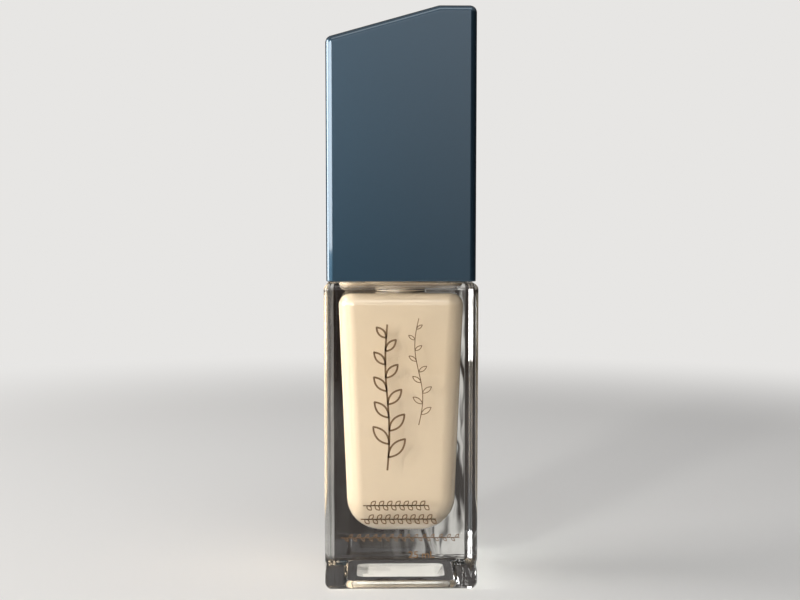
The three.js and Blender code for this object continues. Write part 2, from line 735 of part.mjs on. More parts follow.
function actuatorCore() {
  const coreRadius = SHELL_BORE_R - FIT;
  const profile = [
    [0, HUB_CEILING],
    [STEM_R + FIT, HUB_CEILING],
    [STEM_R + FIT, HUB_BOTTOM],
    [STEM_R + FIT + CORE_HUB_WALL, HUB_BOTTOM],
    [STEM_R + FIT + CORE_HUB_WALL, HUB_BOTTOM + CORE_RECESS],
    [coreRadius - CORE_SKIRT_WALL, HUB_BOTTOM + CORE_RECESS],
    [coreRadius - CORE_SKIRT_WALL, HUB_BOTTOM],
    [coreRadius, HUB_BOTTOM],
    [coreRadius, CORE_TOP],
    [0, CORE_TOP],
  ];
  const body = joined(lathe(profile, COARSE), frontBar(SPOUT_R, coreRadius / 2, SPOUT_REACH));
  const rise = bar(DUCT_R, HUB_CEILING - 1, SPOUT_Z);
  const run = frontBar(DUCT_R, -DUCT_R / 2, SPOUT_REACH + 1);
  const socket = frontBar(SPOUT_R - NOZZLE_WALL, SPOUT_REACH - NOZZLE_LENGTH - FIT, SPOUT_REACH + 1);
  return cut(body, rise, run, socket);
}

// A cup with a shallow dish for the finger and a window for the spout.
function actuatorShell() {
  const dishRadius = SHELL_R - SHELL_EDGE_R;
  const profile = [
    [0, HEAD_TOP - FINGER_DISH],
    [dishRadius / 2, HEAD_TOP - FINGER_DISH * 0.75],
    ...arc(dishRadius, HEAD_TOP - SHELL_EDGE_R, SHELL_EDGE_R, 1, 0),
    [SHELL_R, SHELL_BOTTOM],
    [SHELL_BORE_R, SHELL_BOTTOM],
    [SHELL_BORE_R, HEAD_TOP - SHELL_TOP_T],
    [0, HEAD_TOP - SHELL_TOP_T],
  ];
  return cut(solid(lathe(profile)), frontBar(SPOUT_R + FIT, SHELL_BORE_R / 2, SHELL_R + 1));
}

function nozzleInsert() {
  const bodyRadius = SPOUT_R - NOZZLE_WALL - FIT;
  const profile = [
    [NOZZLE_BORE_R, SPOUT_REACH - NOZZLE_LENGTH],
    [bodyRadius, SPOUT_REACH - NOZZLE_LENGTH],
    [bodyRadius, SPOUT_REACH],
    [bodyRadius + NOZZLE_RIM, SPOUT_REACH],
    [bodyRadius + NOZZLE_RIM, SPOUT_REACH + NOZZLE_RIM_T],
    [NOZZLE_BORE_R, SPOUT_REACH + NOZZLE_RIM_T],
  ];
  return solid(lathe(profile, COARSE).rotateX(Math.PI / 2).translate(0, 0, SPOUT_Z));
}

// ---- Overcap ----

// Upright outline of the cap seen from the front, down to `bottom`, drawn in by `wall`.
function capOutline(wall, bottom) {
  const slantDrop = (2 * CAP_HALF - CAP_FLAT) * Math.tan(CAP_SLANT);
  const corners = [
    new THREE.Vector2(-CAP_HALF, bottom),
    new THREE.Vector2(CAP_HALF, bottom),
    new THREE.Vector2(CAP_HALF, CAP_TOP_Z),
    new THREE.Vector2(CAP_HALF - CAP_FLAT, CAP_TOP_Z),
    new THREE.Vector2(-CAP_HALF, CAP_TOP_Z - slantDrop),
  ];
  return insetOutline(corners, wall);
}

// A body of that outline, as deep as it is wide, with the same round on all its edges.
function capBlock(wall, edgeRadius, bottom) {
  const outline = capOutline(wall, bottom);
  const depth = CAP_HALF - wall;
  const front = arc(depth - edgeRadius, 0, edgeRadius, 1, 0).map(([y, rise]) => [y, edgeRadius - rise]);
  const sections = [...front.map(([y, inset]) => [-y, inset]).reverse(), ...front];
  const rings = sections.map(([y, inset]) => {
    const radius = edgeRadius - inset + SEAL_GAP;
    const ringOutline = roundOutline(insetOutline(outline, inset), radius);
    return ringOutline.map((p) => new THREE.Vector3(p.x, y, p.y));
  });
  return loft(rings);
}

function capShell() {
  const below = CAP_MOUTH_Z - 2 * CAP_EDGE_R;
  const outside = solid(capBlock(0, CAP_EDGE_R, below));
  const mouth = block(4 * CAP_HALF, 4 * CAP_HALF, below - 1, CAP_MOUTH_Z);
  return cut(outside, capBlock(CAP_WALL, CAP_INNER_EDGE_R, below - 2 * CAP_WALL), mouth);
}

// A plate that fits the inside of the cap all round.
function linerPlate(bottom, top) {
  const half = CAP_HALF - CAP_WALL - FIT;
  return loft([squareRing(half, CAP_INNER_EDGE_R, bottom), squareRing(half, CAP_INNER_EDGE_R, top)]);
}

// A round socket between two square plates, with a fin to each corner and ribs that grip the collar.
function capLiner() {
  const bottom = CAP_MOUTH_Z + LINER_RECESS;
  const wallRadius = SOCKET_R + LINER_WALL;
  const finLength = 2 * Math.SQRT2 * (CAP_HALF - CAP_WALL - FIT) - 2 * LINER_FIN_T;
  const fins = [1, -1].map((side) =>
    block(finLength, LINER_FIN_T, bottom, LINER_TOP_Z).rotateZ((side * Math.PI) / 4)
  );
  const body = joined(
    linerPlate(bottom, bottom + LINER_FLANGE_T),
    linerPlate(LINER_TOP_Z - LINER_TOP_T, LINER_TOP_Z),
    bar(wallRadius, bottom, LINER_TOP_Z, FINE),
    ...fins
  );
  const ribs = Array.from({ length: SOCKET_RIBS }, (_, i) =>
    bar(SOCKET_RIB_R, bottom + LINER_FLANGE_T, LIP_Z + SLEEVE_TOP, COARSE / 2)
      .translate(SOCKET_R + SOCKET_RIB_R - SOCKET_RIB_PROUD, 0, 0)
      .rotateZ(((i + 0.5) / SOCKET_RIBS) * 2 * Math.PI)
  );
  return cut(body, bar(SOCKET_R, bottom - 1, LINER_TOP_Z + 1, FINE)).add(joined(...ribs));
}

// ---- Assembly ----

function groupOf(...children) {
  return new THREE.Group().add(...children);
}

function pumpBodyGroup() {
  const inlet = part('inlet_ball', ball(INLET_BALL_R), MATERIALS.steel);
  inlet.position.z = INLET_SEAT + seatedBallMiddle(INLET_BALL_R, INLET_SEAT_R);
  return groupOf(
    part('pump_housing', pumpHousing(), MATERIALS.pumpPlastic),
    part('dip_tube', dipTube(), MATERIALS.tubePlastic),
    part('neck_gasket', neckGasket(), MATERIALS.seal),
    part('chaplet', chaplet(), MATERIALS.pumpPlastic),
    part('ball_retainer', ballRetainer(), MATERIALS.pumpPlastic),
    inlet
  );
}

function pistonGroup() {
  const outlet = part('outlet_ball', ball(OUTLET_BALL_R), MATERIALS.steel);
  outlet.position.z = OUTLET_SEAT + seatedBallMiddle(OUTLET_BALL_R, OUTLET_SEAT_R);
  return groupOf(
    part('stem', stem(), MATERIALS.pumpPlastic),
    part('piston_rod', pistonRod(), MATERIALS.pumpPlastic),
    part('main_piston', mainPiston(), MATERIALS.pistonPlastic),
    part('return_spring', returnSpring(), MATERIALS.steel),
    outlet
  );
}

function headGroup() {
  return groupOf(
    part('actuator_core', actuatorCore(), MATERIALS.pumpPlastic),
    part('actuator_shell', actuatorShell(), MATERIALS.headCoat),
    part('nozzle_insert', nozzleInsert(), MATERIALS.pumpPlastic)
  );
}

function collarGroup() {
  return groupOf(
    part('closure_collar', closureCollar(), MATERIALS.collarPlastic),
    part('collar_sleeve', collarSleeve(), MATERIALS.brightSleeve)
  );
}

const glass = groupOf(
  part('glass_bottle', glassBottle(), MATERIALS.clearGlass),
  part('foundation_liquid', foundationLiquid(), MATERIALS.cream),
  part('base_label', baseLabel(), MATERIALS.paper)
);

const pump = groupOf(pumpBodyGroup(), pistonGroup(), headGroup(), collarGroup());
pump.position.z = LIP_Z;

const cap = groupOf(
  part('cap_shell', capShell(), MATERIALS.slateCoat),
  part('cap_liner', capLiner(), MATERIALS.linerPlastic)
);

const bottle = groupOf(glass, pump, cap);
bottle.name = 'foundation_bottle';

export default bottle;
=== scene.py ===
# %% [markdown]
# # A square glass foundation bottle with a slant-topped cap
#
# A thick-walled glass block full of cream, a treatment pump screwed on its neck, and a tall lacquered
# overcap with a round socket inside it. The frame brings the sizes, the joints and the plain solids.
# This script gives each piece its fine surface and its finish.
#
# Nearly every piece here follows one of four rules, so four small Geometry Nodes trees make most of
# the object: a skin over stacked rings, a rod that climbs a helix, copies round the axis, and a sprig.

# %% Load the frame
import json
from math import cos, pi, radians, sin, sqrt, tan

import bmesh
import bpy
from mathutils import Matrix, Vector


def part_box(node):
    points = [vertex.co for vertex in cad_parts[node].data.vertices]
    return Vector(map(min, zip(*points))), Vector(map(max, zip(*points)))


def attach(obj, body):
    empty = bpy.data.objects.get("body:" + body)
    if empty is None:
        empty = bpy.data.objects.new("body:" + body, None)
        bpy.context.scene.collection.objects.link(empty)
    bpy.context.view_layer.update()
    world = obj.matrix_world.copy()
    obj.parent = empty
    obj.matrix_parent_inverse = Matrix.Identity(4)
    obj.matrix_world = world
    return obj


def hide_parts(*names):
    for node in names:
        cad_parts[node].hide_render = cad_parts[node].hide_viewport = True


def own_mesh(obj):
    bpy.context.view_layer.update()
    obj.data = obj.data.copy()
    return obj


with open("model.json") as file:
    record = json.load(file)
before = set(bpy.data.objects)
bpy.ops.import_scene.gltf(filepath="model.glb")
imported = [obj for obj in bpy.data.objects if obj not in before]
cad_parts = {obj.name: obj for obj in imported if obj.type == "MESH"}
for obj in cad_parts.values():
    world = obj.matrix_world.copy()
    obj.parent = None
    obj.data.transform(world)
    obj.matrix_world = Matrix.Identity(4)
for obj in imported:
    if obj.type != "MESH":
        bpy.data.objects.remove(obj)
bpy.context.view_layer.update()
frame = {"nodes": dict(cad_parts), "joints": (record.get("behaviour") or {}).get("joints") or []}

MM = 0.001
scene = bpy.context.scene

# %% [markdown]
# ## Where the pieces are
#
# Every piece takes its place from the box of its own node, so a later change of size in the frame
# moves the fine pieces with it. Only what a box can't tell, such as a wall or a round edge, is a
# named value, given with the piece that it belongs to.


# %% Boxes of the nodes
def span(node):
    """Half width, lowest point and highest point of a node that stands on the axis."""
    low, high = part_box(node)
    return high.x, low.z, high.z


GLASS_HALF, _, LIP_Z = span("glass_bottle")
CAP_HALF, CAP_MOUTH_Z, CAP_TOP_Z = span("cap_shell")
print(f"glass {2 * GLASS_HALF / MM:.1f} mm wide, cap {(CAP_TOP_Z - CAP_MOUTH_Z) / MM:.1f} mm tall")

# %% [markdown]
# ## Camera
#
# The bottle is seen from the front, a little from the left, with the eye near the foot of the cap.
# A short distance gives the strong perspective of a thing held up close: the back of the base shows
# through the glass well inside its front edge.

# %% Camera
SENSOR_MM = 36
VIEW_WIDTH = 159 * MM      # what the picture takes in across, at the front of the glass
EYE_DISTANCE = 225 * MM    # from the front of the glass
EYE_LEFT = 4 * MM
EYE_Z = 75 * MM
AIM_Z = 58.1 * MM

camera_data = bpy.data.cameras.new("camera")
camera_data.sensor_width = SENSOR_MM
camera_data.lens = SENSOR_MM * EYE_DISTANCE / VIEW_WIDTH
camera_data.clip_start = 5 * MM
camera_data.clip_end = 20
camera = bpy.data.objects.new("camera", camera_data)
camera.location = (-EYE_LEFT, -GLASS_HALF - EYE_DISTANCE, EYE_Z)
camera.rotation_euler = (Vector((0, 0, AIM_Z)) - camera.location).to_track_quat("-Z", "Y").to_euler()
scene.collection.objects.link(camera)
scene.camera = camera
print(f"lens {camera_data.lens:.1f} mm")

# %% [markdown]
# ## Studio
#
# Glass and lacquer show what stands round them, so the studio is part of the finish. A large soft
# panel at the left lights the cream from the side. A wide, low panel at the front left draws the
# bright line down the rounded edge of the cap. A small lamp beside it is sharp enough to throw the
# shadow of the print on the cream, and a weak one overhead finds the top edges. The right stays dark,
# so that the far edge reads as an edge. The eye itself sees only a pale floor that fades into a pale
# background; what the glass and the lacquer see is the room set out below.


# %% Helpers for shader nodes
def shader_node(tree, kind, sockets=None, **settings):
    """Adds a node, sets its settings, and fills its sockets from values or from other outputs."""
    node = tree.nodes.new(kind)
    for name, value in settings.items():
        setattr(node, name, value)
    for name, value in (sockets or {}).items():
        if isinstance(value, bpy.types.NodeSocket):
            tree.links.new(value, node.inputs[name])
        else:
            node.inputs[name].default_value = value
    return node


def eased(tree, value, from_range, to_range):
    """Carries a value smoothly from one range to another."""
    return shader_node(tree, "ShaderNodeMapRange", {
        "Value": value, "From Min": from_range[0], "From Max": from_range[1],
        "To Min": to_range[0], "To Max": to_range[1]}, interpolation_type="SMOOTHSTEP").outputs[0]


def calc(tree, operation, *values):
    """One Math node on values or outputs."""
    return shader_node(tree, "ShaderNodeMath", dict(enumerate(values)), operation=operation).outputs[0]


def blend(tree, share, first, second):
    """Shows the first shader where the share is 0, and the second where it is 1."""
    return shader_node(tree, "ShaderNodeMixShader", {0: share, 1: first, 2: second}).outputs[0]


# %% World
# a direction's x runs to the right, its y from front to back, and its z up, each from -1 to 1
BACKGROUND = (0.80, 0.79, 0.775, 1)
ROOM_TINT = (0.97, 0.98, 1.0, 1)
ROOM_SIDE = ((-0.8, 0.30), (0.13, 0.012))      # x from the left on, and the glow there
ROOM_ABOVE = ((0.1, 0.7), (0.0, 0.30))         # the same upwards
WALL_UP = 2.6                                  # how fast the wall brightens upwards
WALL_RIGHT = 1.6                               # and to the right
WALL_LEVEL = 0.26
WALL_MOST = 1.2
WALL_REACH = ((-0.82, -0.96), (0, 1))          # y from its rim to its middle
WALL_END = ((0.14, 0.30), (1, 0))              # x where it stops at the right
CARD = (0.020, 0.014, 0.011, 1)
GAP = (0.62, 0.60, 0.56, 1)
GAP_PATTERN = (125, 0, 15)                     # close upright gaps, many times taller than wide
GAP_LEAN = -0.45                               # fewer of them higher up
GAP_EDGES = ((0.49, 0.70), (0.02, 1))
GAP_SIDE = ((0.0, 0.062), (0.02, 0.9))         # x where the gaps come in
CARDS_REACH = ((0.45, 0.75), (0, 1))

world = bpy.data.worlds.new("studio")
world.use_nodes = True
scene.world = world
tree = world.node_tree
tree.nodes.clear()
ray = shader_node(tree, "ShaderNodeTexCoord").outputs["Generated"]
x_way, y_way, z_way = shader_node(tree, "ShaderNodeSeparateXYZ", {"Vector": ray}).outputs

# the room: brighter at the left and above, with a soft wall of light right behind the eye
glow = calc(tree, "ADD", eased(tree, x_way, *ROOM_SIDE), eased(tree, z_way, *ROOM_ABOVE))
slope = calc(tree, "ADD", calc(tree, "MULTIPLY", z_way, WALL_UP), calc(tree, "MULTIPLY", x_way, WALL_RIGHT))
wall = calc(tree, "MAXIMUM", calc(tree, "ADD", slope, WALL_LEVEL), 0.0)
wall = calc(tree, "MINIMUM", wall, WALL_MOST)
ahead = calc(tree, "MULTIPLY", eased(tree, y_way, *WALL_REACH), eased(tree, x_way, *WALL_END))
level = calc(tree, "ADD", glow, calc(tree, "MULTIPLY", wall, ahead))
room = shader_node(tree, "ShaderNodeBackground", {"Color": ROOM_TINT, "Strength": level}).outputs[0]

# the cards behind: dark, with pale gaps between them towards the right
upright = shader_node(tree, "ShaderNodeMapping", {"Vector": ray, "Scale": GAP_PATTERN}).outputs["Vector"]
pattern = shader_node(tree, "ShaderNodeTexNoise", {"Vector": upright, "Scale": 1.0}).outputs["Fac"]
gaps = eased(tree, calc(tree, "MULTIPLY_ADD", z_way, GAP_LEAN, pattern), *GAP_EDGES)
tone = shader_node(tree, "ShaderNodeMix", data_type="RGBA")
tree.links.new(calc(tree, "MULTIPLY", gaps, eased(tree, x_way, *GAP_SIDE)), tone.inputs[0])
tone.inputs[6].default_value = CARD
tone.inputs[7].default_value = GAP
cards = shader_node(tree, "ShaderNodeBackground", {"Color": tone.outputs[2]}).outputs[0]
around = blend(tree, eased(tree, y_way, *CARDS_REACH), room, cards)

plain = shader_node(tree, "ShaderNodeBackground", {"Color": BACKGROUND}).outputs[0]
by_eye = shader_node(tree, "ShaderNodeLightPath").outputs["Is Camera Ray"]
shader_node(tree, "ShaderNodeOutputWorld", {"Surface": blend(tree, by_eye, around, plain)})
print(f"studio: {len(tree.nodes)} nodes")

# %% Lights
LIT_POINT = Vector((0, 0, 60 * MM))


def softbox(name, azimuth, elevation, distance, width, height, power, tint):
    """A soft panel that looks at the bottle. Azimuth 0 is the front, and 90 the right."""
    data = bpy.data.lights.new(name, "AREA")
    data.shape = "RECTANGLE"
    data.size = width
    data.size_y = height
    data.energy = power
    data.color = tint
    lamp = bpy.data.objects.new(name, data)
    turn, rise = radians(azimuth), radians(elevation)
    away = Vector((sin(turn) * cos(rise), -cos(turn) * cos(rise), sin(rise)))
    lamp.location = LIT_POINT + away * distance
    lamp.rotation_euler = (-away).to_track_quat("-Z", "Y").to_euler()
    lamp.visible_camera = False
    scene.collection.objects.link(lamp)


LIGHTS = [         # name, azimuth and elevation in degrees; distance, width and height in metres; watts; tint
    ("side_light", -90, 12, 0.80, 0.46, 0.60, 7.4, (1.0, 0.985, 0.96)),
    ("edge_light", -40, 6.5, 0.70, 0.71, 0.18, 2.6, (1, 1, 1)),
    ("small_light", -34, 20, 0.70, 0.07, 0.07, 1.1, (1.0, 0.98, 0.95)),
    ("top_light", 12, 62, 0.70, 0.50, 0.30, 0.7, (1, 1, 1)),
]
for light in LIGHTS:
    softbox(*light)
print(f"{len(LIGHTS)} lights")

# %% Floor
FLOOR_R = 3.0
FLOOR_CLEAR_R = 0.20       # inside this the floor is real, and past twice this it is background
FLOOR_DROP = 0.05 * MM     # keeps it off the bearing ring of the glass
FLOOR_SIDES = 96

floor_shape = bmesh.new()
bmesh.ops.create_circle(floor_shape, cap_ends=True, radius=FLOOR_R, segments=FLOOR_SIDES)
floor_mesh = bpy.data.meshes.new("floor")
floor_shape.to_mesh(floor_mesh)
floor_shape.free()
floor_mesh.transform(Matrix.Translation((0, 0, -FLOOR_DROP)))
floor = bpy.data.objects.new("floor", floor_mesh)
scene.collection.objects.link(floor)

floor_paint = bpy.data.materials.new("pale_floor")
floor_paint.use_nodes = True
tree = floor_paint.node_tree
tree.nodes.clear()
spot = shader_node(tree, "ShaderNodeTexCoord").outputs["Object"]
reach = shader_node(tree, "ShaderNodeVectorMath", {0: spot}, operation="LENGTH").outputs["Value"]
fade = eased(tree, reach, (FLOOR_CLEAR_R, 2 * FLOOR_CLEAR_R), (0, 1))
matt = shader_node(tree, "ShaderNodeBsdfDiffuse", {"Color": BACKGROUND}).outputs[0]
glow = shader_node(tree, "ShaderNodeEmission", {"Color": BACKGROUND}).outputs[0]
gone = shader_node(tree, "ShaderNodeBsdfTransparent").outputs[0]
by_eye = shader_node(tree, "ShaderNodeLightPath").outputs["Is Camera Ray"]
far = blend(tree, by_eye, gone, glow)          # the lacquer looks through it, into the dark of the room
shader_node(tree, "ShaderNodeOutputMaterial", {"Surface": blend(tree, fade, matt, far)})
floor_mesh.materials.append(floor_paint)
floor.visible_transmission = False             # the glass shows the cards and not the pale floor
print(f"floor reaches {FLOOR_R:.0f} m each way")

# %% Picture settings
scene.view_settings.view_transform = "Standard"
scene.cycles.use_denoising = True
scene.cycles.max_bounces = 20
scene.cycles.transmission_bounces = 16
scene.cycles.transparent_max_bounces = 16
scene.cycles.sample_clamp_indirect = 6.0

# %% [markdown]
# ## Finishes
#
# Each finish is one Principled shader, with its plain values set on the shader itself. What varies
# over the surface comes from noise in object coordinates, at the size that the real marks have:
# tenths of a millimetre for moulded plastic, hundredths for metal flake. A finish needs three things
# before it stops looking like a flat colour: a colour that drifts a little, a gloss that isn't even,
# and a surface that isn't quite smooth.


# %% The parts of a finish
def start_finish(name, stretch=(1, 1, 1)):
    """A new material, with its tree, its shader and stretched object coordinates."""
    material = bpy.data.materials.new(name)
    material.use_nodes = True
    tree = material.node_tree
    place = shader_node(tree, "ShaderNodeTexCoord").outputs["Object"]
    mapped = shader_node(tree, "ShaderNodeMapping", {"Vector": place, "Scale": stretch})
    return material, tree, tree.nodes["Principled BSDF"], mapped.outputs["Vector"]


def noise(tree, place, size, detail=2.0):
    """Noise whose lumps are about `size` across."""
    sockets = {"Vector": place, "Scale": 1 / size, "Detail": detail}
    return shader_node(tree, "ShaderNodeTexNoise", sockets).outputs["Fac"]


def drifting(tree, factor, colour, drift):
    """A colour that runs from a little darker to a little lighter as the factor rises."""
    mix = shader_node(tree, "ShaderNodeMix", data_type="RGBA")
    tree.links.new(factor, mix.inputs[0])
    mix.inputs[6].default_value = [c * (1 - drift) for c in colour] + [1]
    mix.inputs[7].default_value = [min(1, c * (1 + drift)) for c in colour] + [1]
    return mix.outputs[2]


def finish(name, colour, gloss, grain, bump, drift=0.05, stretch=(1, 1, 1), **plain):
    """A finish with roughness from gloss[0] to gloss[1], and a grain raised by `bump`."""
    material, tree, shader, place = start_finish(name, stretch)
    fine = noise(tree, place, grain, 3.0)
    tone = drifting(tree, noise(tree, place, 9 * grain), colour, drift)
    tree.links.new(tone, shader.inputs["Base Color"])
    tree.links.new(eased(tree, fine, (0.3, 0.7), gloss), shader.inputs["Roughness"])
    raised = shader_node(tree, "ShaderNodeBump", {"Height": fine, "Distance": bump})
    tree.links.new(raised.outputs[0], shader.inputs["Normal"])
    for socket, value in plain.items():
        shader.inputs[socket.replace("_", " ")].default_value = value
    return material


# %% [markdown]
# ### Plastics, metals, paper and seal
#
# Natural polypropylene is milky and slightly waxy. The bright sleeve was turned on a lathe before it
# was anodised, so its marks run round it: squeezing the noise along the axis, and stretching it
# across, gives those rings without any picture of them.

# %% Plain finishes
POLYPROPYLENE_SHINE = 0.45
pump_plastic = finish("natural_polypropylene", (0.83, 0.83, 0.80), (0.32, 0.46), 0.25 * MM, 0.003 * MM,
                      Specular_IOR_Level=POLYPROPYLENE_SHINE)
tube_plastic = finish("extruded_polyethylene", (0.74, 0.77, 0.78), (0.22, 0.34), 0.2 * MM, 0.002 * MM,
                      stretch=(1, 1, 0.05))
piston_plastic = finish("waxy_polyethylene", (0.87, 0.86, 0.80), (0.4, 0.55), 0.2 * MM, 0.003 * MM)
collar_plastic = finish("collar_polypropylene", (0.80, 0.80, 0.78), (0.38, 0.5), 0.3 * MM, 0.004 * MM)
liner_plastic = finish("liner_polypropylene", (0.68, 0.70, 0.71), (0.42, 0.55), 0.3 * MM, 0.005 * MM)
seal_foam = finish("foamed_seal", (0.88, 0.88, 0.86), (0.7, 0.85), 0.09 * MM, 0.02 * MM)
label_paper = finish("label_paper_matt", (0.86, 0.85, 0.82), (0.72, 0.86), 0.12 * MM, 0.006 * MM,
                     stretch=(1, 4, 1))
sleeve_metal = finish("turned_bright_aluminium", (0.80, 0.81, 0.82), (0.14, 0.26), 0.05 * MM, 0.0006 * MM,
                      stretch=(0.02, 0.02, 1), Metallic=1.0)
spring_steel = finish("drawn_steel", (0.58, 0.58, 0.57), (0.2, 0.34), 0.06 * MM, 0.001 * MM, Metallic=1.0)
ball_steel = finish("polished_steel", (0.66, 0.67, 0.67), (0.05, 0.12), 0.2 * MM, 0.0003 * MM,
                    Metallic=1.0)
bronze_ink = finish("bronze_ink", (0.20, 0.115, 0.055), (0.38, 0.6), 0.08 * MM, 0.002 * MM, drift=0.25,
                    Metallic=0.35)
label_ink = finish("grey_ink", (0.06, 0.06, 0.065), (0.6, 0.7), 0.08 * MM, 0.002 * MM, drift=0.2)
print(f"{len(bpy.data.materials)} finishes so far")

# %% [markdown]
# ### Slate lacquer
#
# The cap is moulded plastic, sprayed with a metallic base coat and a clear coat. The flakes are what
# tells it from paint: each is a few hundredths of a millimetre across and lies at its own angle, so a
# Voronoi pattern gives every cell its own tone and its own small tilt. Under the clear coat runs the
# slow orange-peel wave that sprayed lacquer settles into.

# %% Lacquer
SLATE = (0.031, 0.071, 0.108)
SLATE_DRIFT = 0.12
SLATE_ROUGHNESS = (0.30, 0.38)
FLAKE = 0.03 * MM
FLAKE_TILT = 0.0004 * MM
ORANGE_PEEL = 1.6 * MM
ORANGE_PEEL_DEPTH = 0.003 * MM


def lacquer(name):
    """A metallic base coat of flakes under a clear coat with its slow wave."""
    material, tree, shader, place = start_finish(name)
    flakes = shader_node(tree, "ShaderNodeTexVoronoi", {"Vector": place, "Scale": 1 / FLAKE})
    tone = shader_node(tree, "ShaderNodeSeparateColor", {"Color": flakes.outputs["Color"]}).outputs[0]
    tree.links.new(drifting(tree, tone, SLATE, SLATE_DRIFT), shader.inputs["Base Color"])
    tree.links.new(eased(tree, tone, (0, 1), SLATE_ROUGHNESS), shader.inputs["Roughness"])
    peel = noise(tree, place, ORANGE_PEEL, 1.0)
    wave = shader_node(tree, "ShaderNodeBump", {"Height": peel, "Distance": ORANGE_PEEL_DEPTH})
    glint = shader_node(tree, "ShaderNodeBump", {
        "Height": tone, "Distance": FLAKE_TILT, "Normal": wave.outputs[0]})
    tree.links.new(glint.outputs[0], shader.inputs["Normal"])
    tree.links.new(wave.outputs[0], shader.inputs["Coat Normal"])
    coat = {"Metallic": 0.85, "Coat Weight": 1.0, "Coat IOR": 1.7, "Coat Roughness": 0.05}
    for socket, value in coat.items():
        shader.inputs[socket].default_value = value
    return material


cap_coat = lacquer("slate_lacquer")
head_coat = lacquer("slate_lacquer_head")
print(f"flakes {FLAKE / MM:.2f} mm across")

# %% [markdown]
# ### Glass
#
# Pressed glass is clear, but its walls aren't flat: they carry a slow wave from the mould, and that
# wave bends what is seen through them. Lamps have to reach the cream inside, and a path tracer can't
# aim a shadow ray through a bend, so the shadow rays alone see plain transparency.

# %% Glass and cream
GLASS_TINT = (0.975, 0.985, 0.980)
GLASS_SHADE = (0.95, 0.97, 0.96, 1)            # what a wall lets through to the lamps
GLASS_IOR = 1.5
GLASS_WAVE = 7 * MM
GLASS_WAVE_DEPTH = 0.05 * MM


def clear_glass_finish():
    material, tree, shader, place = start_finish("clear_flint_glass")
    wave = noise(tree, place, GLASS_WAVE, 1.0)
    tree.links.new(drifting(tree, wave, GLASS_TINT, 0.01), shader.inputs["Base Color"])
    raised = shader_node(tree, "ShaderNodeBump", {"Height": wave, "Distance": GLASS_WAVE_DEPTH})
    tree.links.new(raised.outputs[0], shader.inputs["Normal"])
    for socket, value in {"Roughness": 0.0, "IOR": GLASS_IOR, "Transmission Weight": 1.0}.items():
        shader.inputs[socket].default_value = value
    through = shader_node(tree, "ShaderNodeBsdfTransparent", {"Color": GLASS_SHADE}).outputs[0]
    to_lamp = shader_node(tree, "ShaderNodeLightPath").outputs["Is Shadow Ray"]
    both = blend(tree, to_lamp, shader.outputs[0], through)
    tree.links.new(both, tree.nodes["Material Output"].inputs["Surface"])
    return material


clear_glass = clear_glass_finish()
foundation_cream = finish("foundation_cream_filling", (0.78, 0.615, 0.43), (0.20, 0.25), 3 * MM,
                          0.002 * MM, drift=0.015, Specular_IOR_Level=0.65, Coat_Weight=1.0,
                          Coat_Roughness=0.12, Coat_IOR=1.8)
print(f"{len(bpy.data.materials)} materials")

# %% [markdown]
# ## Growing meshes with Geometry Nodes
#
# A tree is easier to read as sums than as a list of nodes, so a field here is a number that knows its
# tree: adding or multiplying fields adds Math nodes. Each tree takes a small mesh and named sizes, and
# ends by making its copies real and setting the material, because a plain mesh is what rides on a
# body.


# %% Fields
class Field:
    """A number that may differ at each point. Sums and products of fields become Math nodes."""

    def __init__(self, recipe, socket):
        self.recipe = recipe
        self.socket = socket

    def maths(self, operation, *others):
        return Field(self.recipe, self.recipe.add("ShaderNodeMath", self, *others, operation=operation))

    def __add__(self, other):
        return self.maths("ADD", other)

    def __sub__(self, other):
        return self.maths("SUBTRACT", other)

    def __mul__(self, other):
        return self.maths("MULTIPLY", other)

    def __truediv__(self, other):
        return self.maths("DIVIDE", other)

    def clamped(self, low, high):
        return self.maths("MAXIMUM", low).maths("MINIMUM", high)

    def cosine(self):
        return self.maths("COSINE")

    def sine(self):
        return self.maths("SINE")


